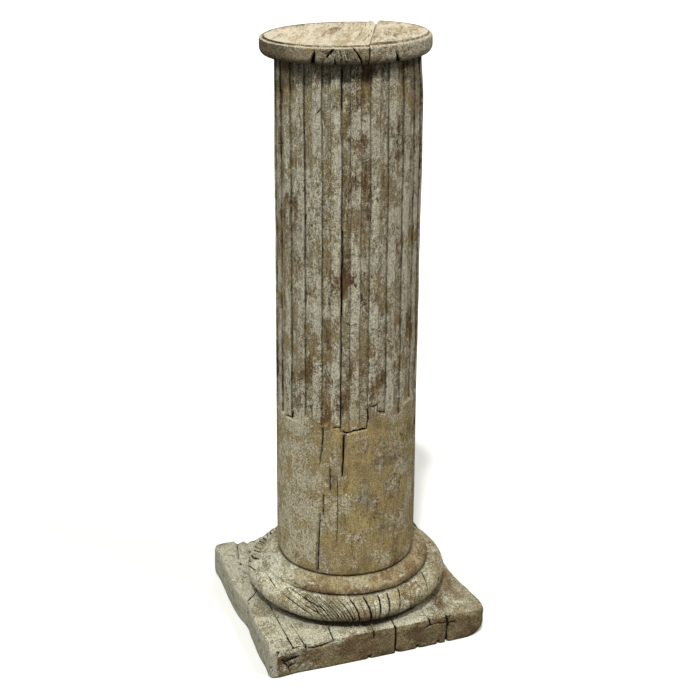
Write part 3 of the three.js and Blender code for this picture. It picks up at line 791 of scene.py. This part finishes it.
# The outline's points, anticlockwise from the front left corner, and where along them the corners are.
PLINTH_OUTLINE = (
    (-202.2, -192.6), (-150, -193.8), (-90, -195.6), (0, -196.4), (50, -196.4), (100, -195.6),
    (150, -194.6), (188, -193), (202, -188), (208, -178), (208.2, -162), (203.5, -115),
    (199.6, -85), (198.5, -55), (199.2, -25), (203.2, 15), (205.3, 45), (206.1, 95),
    (206.1, 152), (205, 185.6), (198, 195.2), (150, 196.4), (0, 196.3), (-150, 196.3),
    (-197, 195.6), (-205.3, 189), (-206.2, 141), (-208.2, 45), (-205.8, 5), (-202.2, -15),
    (-200.3, -35), (-201.9, -55), (-204.9, -115), (-203.9, -158),
)
PLINTH_CORNERS = (0, 8.5, 19.5, 24.6, 34)
# The least and the most that wear and cracks take off the plinth.
PLINTH_INWARD = (0.1, 14)
LOST_CORNER_RADIUS = 26.0
LOST_CORNER_REACH = 60.0
LOST_CORNER_RUN = 150.0
PLINTH_EDGE_ROUND = 3.0
PLINTH_HALF_WIDTH = 200
# Checks on the top: across, how far back, width; then how far down the front face they go.
PLINTH_CHECKS = (
    (((-161.9, -40), (-161.2, -120), (-161.5, -198)), (1.4, 3.2), 50),
    (((-145, -120), (-140.8, -140), (-138.8, -198)), (1.6, 2.6), 46),
    (((-82, -148), (-84.5, -163), (-88, -198)), (1.0, 1.8), 50),
    (((-9.5, -170), (-11, -185), (-12.5, -198)), (1.6, 2.0), 38),
    (((30, -168), (28.5, -198)), (2.4, 2.8), -2),
    (((94.5, -145), (94, -168), (95, -198)), (1.6, 2.4), 42),
    (((128, -120), (129.2, -152), (129, -198)), (2.0, 3.0), -2),
)
PLINTH_TOP_CRACKS = (
    (((-168, 9), (-172, 4), (-182, -9.5), (-199, -25), (-209, -40)), (1.6, 4.0), 7),
    (((-160.4, -91), (-153, -85), (-146, -88)), 1.2, 3),
    (((-175, 122), (-167, 150), (-158, 200)), (1.8, 1.4), 3),
    (((-173.5, 104), (-173, 109)), 4.5, 7),
    (((150, 100), (149, 200)), 2.2, 6),
    (((40, 150), (42, 200)), 1.8, 5),
    (((-90, 140), (-88, 200)), 1.8, 5),
)
# Paths on the front face, as x and height.
PLINTH_FRONT_CRACKS = (
    (((-88, 56), (-90, 52), (-96, 50), (-104, 47), (-111, 46), (-124, 45), (-138, 47)), (1.6, 1.4), 5),
    (((-95, 50.5), (-103, 47.5), (-112, 45.5)), 3.4, 6),
    (((82, 38), (94, 43), (108, 44.5), (128, 40), (150, 38.5)), (2.2, 0.8), 4),
    (((-186, 38), (-175, 26), (-169, 27.5), (-160, 30.5), (-149, 35)), 1.6, 5),
    (((-171, 26.5), (-160, 30.5), (-152, 34)), 4.2, 8),
    (((-181, 28), (-170, 15), (-157, 21)), 2.0, 5),
    (((-195, 54), (-188, 50), (-192, 44), (-199, 43)), 2.4, 5),
    (((-172, 15), (-168, 6)), 1.2, 3),
    (((29, 55), (30, 30), (28, 12), (31, -2)), (2.6, 3.4), 9),
    (((129, 55), (129.5, 30), (128, -2)), (2.8, 3.2), 10),
    (((-22, -2), (-21, 5)), 4.0, 5),
    (((68, -2), (72, 7)), 5.0, 6),
    (((112, -2), (111.5, 7)), 4.0, 5),
)
# Nicks in the front's bottom edge, as x and half their width.
PLINTH_FOOT_NICKS = ((-22, 2), (32, 3.4), (73, 2.6), (112, 1.8), (129, 2))
# How far the back's broken top edge is in, as x and depth.
PLINTH_BACK_BREAK = (
    (-163, 0), (-161.5, 14), (-153, 9), (-146, 5), (-141, 17), (-134, 11), (-122, 9), (-108, 0),
)


def closed_curve(points, places):
    """Points on a smooth closed curve through the given ones; a place counts in steps between them."""
    points = np.array(points, float)
    count = len(points)
    places = np.asarray(places) % count
    index = np.floor(places).astype(int)
    share = places - index
    p = [points[(index + k) % count] for k in (-1, 0, 1, 2)]
    gaps = [np.sqrt(np.maximum(np.linalg.norm(b - a, axis=-1), 1e-6)) for a, b in zip(p[:-1], p[1:])]
    d0, d1, d2 = (g[..., None] for g in gaps)
    start = ((p[1] - p[0]) / d0 - (p[2] - p[0]) / (d0 + d1) + (p[2] - p[1]) / d1) * d1
    end = ((p[2] - p[1]) / d1 - (p[3] - p[1]) / (d1 + d2) + (p[3] - p[2]) / d2) * d1
    t = share[..., None]
    a, b = p[1], p[2]
    return (a + start * t + (3 * (b - a) - 2 * start - end) * t ** 2
            + (2 * (a - b) + start + end) * t ** 3)


def plinth_side(first, last, shares):
    """Points along one side of the outline, spaced evenly for even shares."""
    places = np.linspace(first, last, 600)
    points = closed_curve(PLINTH_OUTLINE, places)
    length = np.append(0, np.cumsum(np.linalg.norm(np.diff(points, axis=0), axis=1)))
    wanted = np.asarray(shares) * length[-1]
    return np.stack([np.interp(wanted, length, points[:, i]) for i in range(2)], axis=-1)


def plinth_grid():
    middle = closed_curve(PLINTH_OUTLINE, np.linspace(0, 34, 1200))
    middle = (middle.min(axis=0) + middle.max(axis=0)) / 2
    across = np.linspace(0, 1, 176)
    back = np.linspace(0, 1, 150)
    front_line = plinth_side(*PLINTH_CORNERS[0:2], across)
    right_line = plinth_side(*PLINTH_CORNERS[1:3], back)
    back_line = plinth_side(*PLINTH_CORNERS[2:4], 1 - across)
    left_line = plinth_side(*PLINTH_CORNERS[3:5], 1 - back)
    u = across[None, :, None]
    v = back[:, None, None]
    flat = (1 - v) * front_line[None] + v * back_line[None] + (1 - u) * left_line[:, None]
    flat = flat + u * right_line[:, None]
    flat = flat - ((1 - u) * (1 - v) * front_line[0] + u * (1 - v) * front_line[-1]
                   + (1 - u) * v * back_line[0] + u * v * back_line[-1])
    flat = flat - middle
    # The columns of the grid follow the checks.
    lines = flat[..., 0].copy()
    for path, width, down in PLINTH_CHECKS:
        lines = drawn_to(lines, across_at(path, flat[:, 0, 1]), reach=7.0)
    lines[:, 0] = flat[:, 0, 0]
    lines[:, -1] = flat[:, -1, 0]
    flat[..., 0] = lines
    return flat


def plinth_cracks(x, y, z, on_top, front_side, left_side):
    cracks = Cracks(x.shape)
    top_cracks = Cracks(x.shape)
    for path, width, down in PLINTH_CHECKS:
        top_cracks.add(x, y, path, width, 9, open_end=True)
    for path, width, depth in PLINTH_TOP_CRACKS:
        top_cracks.add(x, y, path, width, depth, open_end=True)
    front_cracks = Cracks(x.shape)
    for path, width, down in PLINTH_CHECKS:
        front_cracks.add(x, z, [(path[-1][0], 60), (path[-1][0], down)], width, 7, open_start=True)
    for path, width, depth in PLINTH_FRONT_CRACKS:
        front_cracks.add(x, z, path, width, depth)
    side_cracks = Cracks(x.shape)
    side_cracks.add(y, z, [(-33, 60), (-35, 20)], 2.0, 6, open_start=True)
    side_cracks.add(y, z, [(60, 30), (150, 26)], 1.2, 3)
    cracks.take(on_top > 0.5, top_cracks)
    cracks.take(front_side > 0.5, front_cracks)
    cracks.take(left_side > 0.5, side_cracks)
    return cracks


def plinth():
    top = PLINTH_HIGH[2]
    flat = plinth_grid()

    rows, columns = flat.shape[:2]
    number = np.arange(rows * columns).reshape(rows, columns)
    loop = np.concatenate([number[0, :-1], number[:-1, -1], number[-1, :0:-1], number[:0:-1, 0]])
    rim = flat.reshape(-1, 2)[loop]
    tangent = np.roll(rim, -1, axis=0) - np.roll(rim, 1, axis=0)
    outward = np.stack([tangent[:, 1], -tangent[:, 0]], axis=1)
    outward /= np.linalg.norm(outward, axis=1)[:, None]

    # The top face comes in a little from the outline, where its edge is rounded.
    top_flat = flat.reshape(-1, 2) * (1 - PLINTH_EDGE_ROUND / PLINTH_HALF_WIDTH)
    levels = np.concatenate([[top - 1.0, top - 2.4], np.linspace(top - 4.2, 4, 22), [1.6, 0.5, 0.0]])
    inset = np.concatenate([[1.0, 0.3], np.zeros(22), [0.35, 1.3, PLINTH_EDGE_ROUND]])
    ring_flat = rim[None] - outward[None] * inset[:, None, None]
    xy, z, on_top = top_and_skirt(top_flat, ring_flat, top, levels)
    x, y = xy.T

    front_side = (1 - on_top) * smooth(-185, -190, y)
    left_side = (1 - on_top) * smooth(-190, -196, x)
    cracks = plinth_cracks(x, y, z, on_top, front_side, left_side)

    hollow = 7 * bell(x, -170, 12) * bell(z, 24, 10) * front_side
    hollow *= 0.7 + 0.6 * noise(x / 4, z / 4, seed=41)
    rough = 0.45 * fractal(x / 4.5, y / 40, z / 6, seed=42)
    end_grain = 0.5 * fractal(x / 7, y / 60, z / 3.4, seed=43) * front_side
    swell = 1.1 * fractal(x / 60, y / 90, z / 40, seed=44, octaves=2)
    pits = 2.5 * np.clip(fractal(x / 8, y / 22, z / 8, seed=45) - 0.95, 0, 1)
    wear = 1.4 + 1.6 * np.clip(fractal(x / 22, y / 22, z / 9, seed=46), -0.4, 1)
    near_edge = np.clip(1 - np.abs(z - (top - 2)) / 7, 0, 1) * (1 - on_top)
    chips = wear * near_edge
    inward = cracks.depth + hollow + 0.9 + swell + pits - rough - end_grain + chips
    inward = np.clip(inward, *PLINTH_INWARD)
    through = np.max([bell(x, place, width) for place, width in PLINTH_FOOT_NICKS], axis=0) * front_side
    foot = np.maximum(smooth(0, 3, z), through)
    inward = inward * np.where(on_top > 0.5, 1, foot) + 5 * through * smooth(9, 0, z)

    out_x = np.concatenate([np.zeros(len(top_flat)), np.tile(outward[:, 0], len(levels))])
    out_y = np.concatenate([np.zeros(len(top_flat)), np.tile(outward[:, 1], len(levels))])
    x_out = x - inward * out_x
    y_out = y - inward * out_y
    broken = np.interp(x, *np.array(PLINTH_BACK_BREAK).T) + 1.5 * noise(x / 4, z / 4, seed=48)
    y_out -= np.clip(broken, 0, None) * (broken > 2) * smooth(166, 188, y) * smooth(top - 26, top - 6, z)
    inside = np.min([200 - np.abs(x), 190 - np.abs(y)], axis=0)
    hidden = smooth(148, 140, np.hypot(x - AXIS[0], y - AXIS[1]))
    drop = inward * (1 - 0.9 * hidden) + 1.1 * smooth(6, 0, inside) + wear * 0.4 * smooth(10, 0, inside)
    z_out = z - on_top * drop
    below = np.clip(LOST_CORNER_RADIUS - z_out, 0, None) / LOST_CORNER_RADIUS
    lost = LOST_CORNER_RADIUS * (1 - np.sqrt(1 - below ** 2))
    right = PLINTH_HIGH[0]
    front = PLINTH_LOW[1]
    x_out -= lost * smooth(right - LOST_CORNER_REACH, right, x_out) * (
        1 - smooth(front + 20, front + LOST_CORNER_RUN, y_out))
    points = np.stack([x_out, y_out, z_out], axis=1)

    quads = np.stack([number[:-1, :-1], number[:-1, 1:], number[1:, 1:], number[1:, :-1]], axis=-1)
    faces = quads.reshape(-1, 4).tolist()
    faces += skirt_faces(len(top_flat), len(levels), loop)

    # More chalk on the left face, partly painted light from the left.
    wash_and_light_bias = on_top * (0.2 - 0.4 * smooth(40, 170, x)) + 0.9 * left_side
    wash_and_light_bias -= front_side * (0.15 + 0.6 * smooth(-120, -10, x))
    wash_and_light_bias += (0.12 + 0.16 * front_side) * fractal(x / 40, y / 70, z / 22, seed=47)
    wash_and_light_bias += 0.35 * front_side * bell(z, 50, 7)
    # Painted shadow on the top round the torus's foot; painted shade in the knot hollow and the pits; darker
    # towards the bottom. The marks on the front are dirt.
    shade = smooth(20, 0, np.hypot(x - AXIS[0], y - AXIS[1]) - 162) * on_top
    grime_and_shade = 0.35 * shade + 0.5 * smooth(2, 6, hollow) + 0.4 * smooth(0, 1, pits) + 0.35 * smooth(5, 0, z)
    grime_and_shade += front_side * (0.35 * bell(x, 6, 18) + 0.2 * smooth(0, 80, x))
    fields = {"wash_and_light_bias": wash_and_light_bias, "grime_and_shade": np.clip(grime_and_shade, 0, 1), "plain": np.full(x.shape, 0.8),
              "warm": -0.2 * on_top}
    material = washed_wood("weathered_plinth", 1, PLINTH_TONES, chalk=0.45, film=0.65)
    return make_piece("square_plinth", "plinth", points, faces, cracks, fields, material)


# Cap

CAP_TOP_RADIUS = 133.0
CAP_TOP_GRID_RADIUS = 132.2
CAP_THICKNESS = 31.0
CAP_RISE = 3.0
CAP_SPLIT_FRONT = np.array([136.0, 36.0])
CAP_SPLIT_BACK = np.array([-131.0, 54.0])
# (radius, height) of the rim above the underside, from the top's edge down.
CAP_RIM = (
    (133.0, 30.4), (133.3, 29.8), (133.5, 29.1), (133.8, 28.4), (134.4, 27.9), (135.8, 27.8), (137.4, 27.9),
    (139.0, 27.8), (139.9, 27.3), (140.3, 26.3), (140.5, 24.8), (140.5, 23.0), (140.5, 21.0), (140.5, 19.0),
    (140.5, 17.0), (140.5, 15.0), (140.5, 13.0), (140.3, 11.0), (139.9, 9.2), (139.3, 7.4), (138.5, 5.8),
    (137.5, 4.4), (136.2, 3.1), (134.8, 2.0), (133.2, 1.1), (131.0, 0.4), (128.6, 0.1), (126.0, 0.0),
)
# Notches in the rim: (angle, height above the underside) paths, the width and the depth.
CAP_NOTCHES = (
    (((-19.9, 23), (-20.6, 14), (-21.6, 5), (-22.6, -6)), (1.5, 13), 13),
    (((-7.6, 26), (-9, 22), (-10.6, 18), (-12, 13)), (3.6, 2.2), 6),
    (((-6.9, 11), (-6.8, 2), (-6.8, -6)), (1.0, 8), 9),
    (((4, 29), (5.5, 24), (7.4, 19), (9, 12), (10.6, 4), (11.5, -6)), (0.9, 4.5), 9),
    (((15.6, 31), (15.4, 18), (15.3, 8), (15.6, -4)), (1.2, 2.4), 7),
    (((34.0, 19), (35.2, 8), (36.6, 0), (37.5, -6)), (1.2, 13), 12),
    (((172, 30), (174, 14), (175, -6)), (2, 7), 10),
    (((-58, 24), (-57, 4)), 1.0, 3),
    (((60, 22), (61, 2)), 1.2, 4),
    (((112, 26), (110, -2)), (1, 3), 6),
    (((-110, 24), (-111, 0)), (1, 3), 6),
    (((-3.5, 24), (-2.6, 12), (-3.2, 3)), 0.8, 3),
    (((0.6, 25), (1.6, 12), (1.0, 2)), 0.8, 3),
    (((-14.5, 24), (-14.2, 14)), 0.8, 2),
    (((22.5, 25), (23.4, 9)), 0.7, 2),
)
# Fissures on the top: places across and along the split's own direction at either end, and the width.
CAP_FISSURES = (
    (-29, 132, -17, -132, 1.1), (-44, 50, -28, -60, 0.6), (-19, 125, -10, 60, 0.8), (-12, 90, -8, 10, 0.7),
    (-22, 30, -14, -40, 0.7), (-7, 40, -4, -40, 0.8), (-11, -50, -9, -120, 0.7), (38, 60, 46, -70, 0.6),
    (-80, -10, -76, -60, 0.4), (66, 40, 70, 0, 0.4), (-60, 100, -56, 60, 0.4),
)
# Fine checks that fan out across the end grain of the rim: their middle, how many, and their spacing
# at the top and at the bottom of the rim.
CAP_FAN = (-5.0, 15, 1.1, 1.75)


def split_wander(place):
    """How far the split strays sideways, from -1 at the back of the cap to 1 at the front."""
    return 1.6 * noise(place * 6, 0.5, seed=51)


def cap_cracks(u, v, z, angle, radial, on_top, split_place, beside):
    """The cracks of the rim and the top together, and how deep each goes."""
    arc = math.radians(1) * CAP_RADIUS
    rim_cracks = Cracks(u.shape)
    for path, width, depth in CAP_NOTCHES:
        rim_cracks.add(angle * arc, z, [(a * arc, h) for a, h in path], width, depth,
                       open_end=path[-1][1] < 0, wander=0.8)
    fan_middle, fan_count, fan_top, fan_foot = CAP_FAN
    for k in np.arange(fan_count) - (fan_count - 1) / 2:
        high = ((fan_middle + fan_top * k) * arc, 25)
        low = ((fan_middle + fan_foot * k) * arc, 2 + 5 * abs(math.sin(k)))
        rim_cracks.add(angle * arc, z, [high, low], 0.55, 1.6, wander=0.6)
    top_cracks = Cracks(u.shape)
    top_cracks.add(u, v, [(split_place, -150), (split_place, 150)], (1.2, 0.6), 4, wander=0)
    top_cracks.side = np.where(np.abs(top_cracks.side) < 20, beside, top_cracks.side)
    for from_across, from_along, to_across, to_along, width in CAP_FISSURES:
        top_cracks.add(u, v, [(split_place + from_across, from_along), (split_place + to_across, to_along)],
                       width, 2.0 * width, wander=1.5)
    groove = np.where(on_top > 0.5, top_cracks.depth, np.minimum(rim_cracks.depth, 15))
    rim_cracks.take((on_top > 0.5) | (radial < CAP_TOP_RADIUS + 0.7), top_cracks)
    return rim_cracks, groove


def cap_top_faces(number):
    """Quads between the lines of the top's grid, and a triangle at either end, where they meet in a point."""
    faces = []
    for lower, higher in zip(number[:-1], number[1:]):
        faces.append((lower[0], lower[1], higher[1]))
        faces += np.stack([lower[1:-2], lower[2:-1], higher[2:-1], higher[1:-2]], axis=1).tolist()
        faces.append((lower[-2], lower[-1], higher[-2]))
    return faces


def cap_grid(split_place):
    """Places of the top's grid, its vertex numbers, and those round its rim. The grid's lines run along the
    split, each as long as the chord of the disc there."""
    even = np.linspace(0, 1, 380)
    turns = math.pi * (even + 0.055 * np.sin(2 * math.pi * even))
    lines = -CAP_TOP_RADIUS * np.cos(turns)
    shares = np.linspace(-1, 1, 112)
    across = np.repeat(lines[None, :], len(shares), axis=0)
    across = drawn_to(across, split_place + split_wander(shares), reach=9.0)
    across[:, 0] = lines[0]
    across[:, -1] = lines[-1]
    chord = np.sqrt(np.clip(CAP_TOP_RADIUS ** 2 - across ** 2, 0, None))
    along = shares[:, None] * chord

    count_v, count_u = across.shape
    number = np.arange(count_v * count_u).reshape(count_v, count_u)
    number[:, 0] = number[0, 0]
    number[:, -1] = number[0, -1]
    loop = np.concatenate([number[0, :-1], number[-1, :0:-1]])
    flat = np.stack([across, along], axis=-1).reshape(-1, 2)
    return flat, number, loop


def cap():
    split = CAP_SPLIT_FRONT - CAP_SPLIT_BACK
    split_turn = math.atan2(split[1], split[0])
    along_axis = np.array([math.cos(split_turn), math.sin(split_turn)])
    across_axis = np.array([-along_axis[1], along_axis[0]])
    split_place = CAP_SPLIT_FRONT @ across_axis

    flat, number, loop = cap_grid(split_place)
    rim_flat = flat[loop]
    direction = rim_flat / np.linalg.norm(rim_flat, axis=1)[:, None]

    profile = np.array(CAP_RIM)
    ring_flat = direction[None] * profile[:, 0][:, None, None]
    top_flat = flat * (CAP_TOP_GRID_RADIUS / CAP_TOP_RADIUS)
    xy, z, on_top = top_and_skirt(top_flat, ring_flat, CAP_THICKNESS, profile[:, 1])
    u, v = xy.T
    # From the split's own axes to the weathered side's.
    x = v * along_axis[0] + u * across_axis[0]
    y = v * along_axis[1] + u * across_axis[1]
    radial = np.hypot(x, y)
    angle = np.degrees(np.arctan2(y, x))
    arc = math.radians(1) * CAP_RADIUS

    split_line = split_place + split_wander(v / CAP_TOP_RADIUS)
    beside = u - split_line
    right_part = smooth(-0.6, 1.4, beside)
    strip_width = np.interp(v, (-132, 132), (17, 29))
    strip = smooth(0, 3, beside + strip_width) * (1 - smooth(-2, -0.5, beside))
    back_half = smooth(60, -90, v)
    upper = smooth(26.5, 29, z)

    cracks, groove = cap_cracks(u, v, z, angle, radial, on_top, split_place, beside)

    grain = 0.5 * fractal(u / 3.2, v / 45, seed=52) + 0.4 * noise(u / 7, v / 80, seed=53)
    splinters = 1.5 * noise(u / 2.4, v / 16, seed=54) * strip
    splinters = splinters + 0.7 * noise(u / 6, v / 9, seed=50) * strip
    swell = 1.0 * fractal(u / 50, v / 60, seed=55, octaves=2)
    dish = 1.4 * smooth(120, 30, np.hypot(u + 40, v)) * (1 - right_part)
    fan = angle * arc + 0.25 * (z - 14) * np.sin(np.radians(angle * 9))
    rim_grain = 0.9 * noise(fan / 1.9, z / 18, seed=56) * (0.3 + 0.7 * bell(angle, -2, 14))
    rim_rough = 0.5 * fractal(x / 6, y / 6, z / 7, seed=57)
    ledge_chips = 2.4 * np.clip(fractal(angle * arc / 16, 0.3, seed=58) - 0.35, 0, 1) * smooth(20, 26, z)
    pits = 2.0 * np.clip(fractal(x / 8, y / 8, z / 8, seed=59) - 0.95, 0, 1)

    side_in = np.clip(groove + 0.7 - rim_grain - rim_rough + ledge_chips + pits, 0, 16)
    side_in = side_in * smooth(125.5, 129, radial)
    top_in = np.clip(groove + 1.2 - grain - splinters + swell + dish, 0, 12)
    x_out = x - (1 - on_top) * side_in * x / radial.clip(1)
    y_out = y - (1 - on_top) * side_in * y / radial.clip(1)
    lift = CAP_RISE * right_part * np.maximum(on_top, upper) + (0.6 + 1.9 * back_half) * strip * on_top
    limit = CAP_THICKNESS + CAP_RISE
    z_out = np.minimum(z + lift - on_top * top_in, limit)
    edge_drop = 0.6 * on_top * smooth(127, CAP_TOP_GRID_RADIUS, radial)
    # Where the split runs out at the back, a wedge of wood is gone.
    lost_wedge = 7 * smooth(95, 128, -v) * np.clip(1 - np.abs(beside + 2) / 6, 0, 1)
    lost_wedge = lost_wedge * np.maximum(on_top, upper)
    z_out = z_out - edge_drop - lost_wedge
    underside = CAP_FOOT + CAP_HIGH_SHIFT + y_out * math.tan(math.radians(CAP_LEAN))
    points = weathered_to_row(x_out, y_out, z_out + underside)

    faces = cap_top_faces(number) + skirt_faces(len(flat), len(profile), loop)
    # The grid's first and last lines shrink to one point each, so the others there go.
    used = np.zeros(len(points), bool)
    for face in faces:
        used[list(face)] = True
    renumber = np.cumsum(used) - 1
    faces = [[int(renumber[k]) for k in face] for face in faces]

    # Painted highlight, with some chalk: a pale line along the outer arris of the ledge below the top.
    arris_chalk_and_highlight = smooth(26.2, 27.2, z) * smooth(136, 138, radial) * (1 - on_top)
    rim_part = 1 - on_top
    wash_and_light_bias = 0.06 * on_top + rim_part * (0.55 * bell(angle, 62, 28) - 0.1)
    wash_and_light_bias += 0.12 * rim_part * fractal(angle * arc / 18, z / 14, seed=61)
    wash_and_light_bias = wash_and_light_bias - 0.12 * rim_part * bell(angle, 22, 14) + 0.7 * arris_chalk_and_highlight
    # Painted shadow in the step under the top's edge, painted shade in the pits, and darker towards the rim's
    # underside; the rest of the rim's darkening, strongest on the left, is dirt.
    ledge_shadow = bell(radial, 134.2, 0.9) * smooth(-0.35, 0.45, noise(angle * arc / 9, 0.7, seed=60))
    grime_and_shade = 0.3 * smooth(5, 0, z) + 0.4 * smooth(0, 1, pits) + 0.75 * ledge_shadow * rim_part
    left_rim = smooth(-28, -50, angle) * smooth(-150, -110, angle)
    grime_and_shade = grime_and_shade + rim_part * (1 - arris_chalk_and_highlight) * (0.12 + 0.6 * left_rim)
    fields = {"wash_and_light_bias": wash_and_light_bias, "grime_and_shade": np.clip(grime_and_shade, 0, 1), "plain": 1 - on_top,
              "warm": 0.2 * on_top}
    fields = {key: values[used] for key, values in fields.items()}
    cracks.side = cracks.side[used]
    cracks.width = cracks.width[used]
    grain_turn = WEATHERED_SIDE + math.degrees(split_turn)
    material = washed_wood("weathered_cap", 0, CAP_TONES, turn=grain_turn, chalk=0.5, film=0.7, dirt=0,
                           calm=True)
    return make_piece("round_cap", "cap", points[used], faces, cracks, fields, material)


# Camera, floor and light

def camera():
    data = bpy.data.cameras.new("camera")
    data.lens = CAMERA_LENS
    data.sensor_width = 36
    holder = linked("camera", data)
    turn = Euler((math.radians(90 + CAMERA_PITCH), 0, math.radians(-CAMERA_YAW))).to_matrix()
    turn = turn @ Matrix.Rotation(math.radians(CAMERA_ROLL), 3, "Z")
    holder.matrix_world = Matrix.Translation(CAMERA_PLACE) @ turn.to_4x4()
    bpy.context.scene.camera = holder


def floor():
    """A pale floor. Light that it would throw back up is held down, as on a dark studio floor."""
    bpy.ops.mesh.primitive_plane_add(size=60, location=(0, 0, -0.0005))
    ground = bpy.context.object
    ground.name = "floor"
    paint = Paint("floor_pale")
    seen = paint.add("ShaderNodeLightPath").outputs["Is Camera Ray"]
    pale = paint.add("ShaderNodeBsdfPrincipled", {"Base Color": FLOOR_PALE, "Roughness": 0.9}).outputs["BSDF"]
    dull_color = (FLOOR_BOUNCE, FLOOR_BOUNCE, 0.96 * FLOOR_BOUNCE, 1)
    dull = paint.add("ShaderNodeBsdfDiffuse", {"Color": dull_color}).outputs["BSDF"]
    choice = paint.add("ShaderNodeMixShader", {0: seen, 1: dull, 2: pale})
    paint.add("ShaderNodeOutputMaterial", {"Surface": choice.outputs["Shader"]})
    ground.data.materials.append(paint.material)


def soft_sun(name, azimuth, elevation, power, spread, color):
    """A distant soft light from an azimuth counted 0 from the front and 90 from the right."""
    data = bpy.data.lights.new(name, "SUN")
    data.energy = power
    data.angle = math.radians(spread)
    data.color = color
    lamp = linked(name, data)
    lamp.rotation_euler = (math.radians(90 - elevation), 0, math.radians(azimuth))


def lights():
    world = bpy.data.worlds.new("studio")
    bpy.context.scene.world = world
    world.use_nodes = True
    world.node_tree.nodes["Background"].inputs["Color"].default_value = (1, 1, 1, 1)
    world.node_tree.nodes["Background"].inputs["Strength"].default_value = AMBIENT
    for light in LIGHTS:
        soft_sun(*light)
    bpy.context.scene.view_settings.view_transform = "Standard"


camera()
floor()
lights()
plinth()
base_moulding()
shaft()
cap()
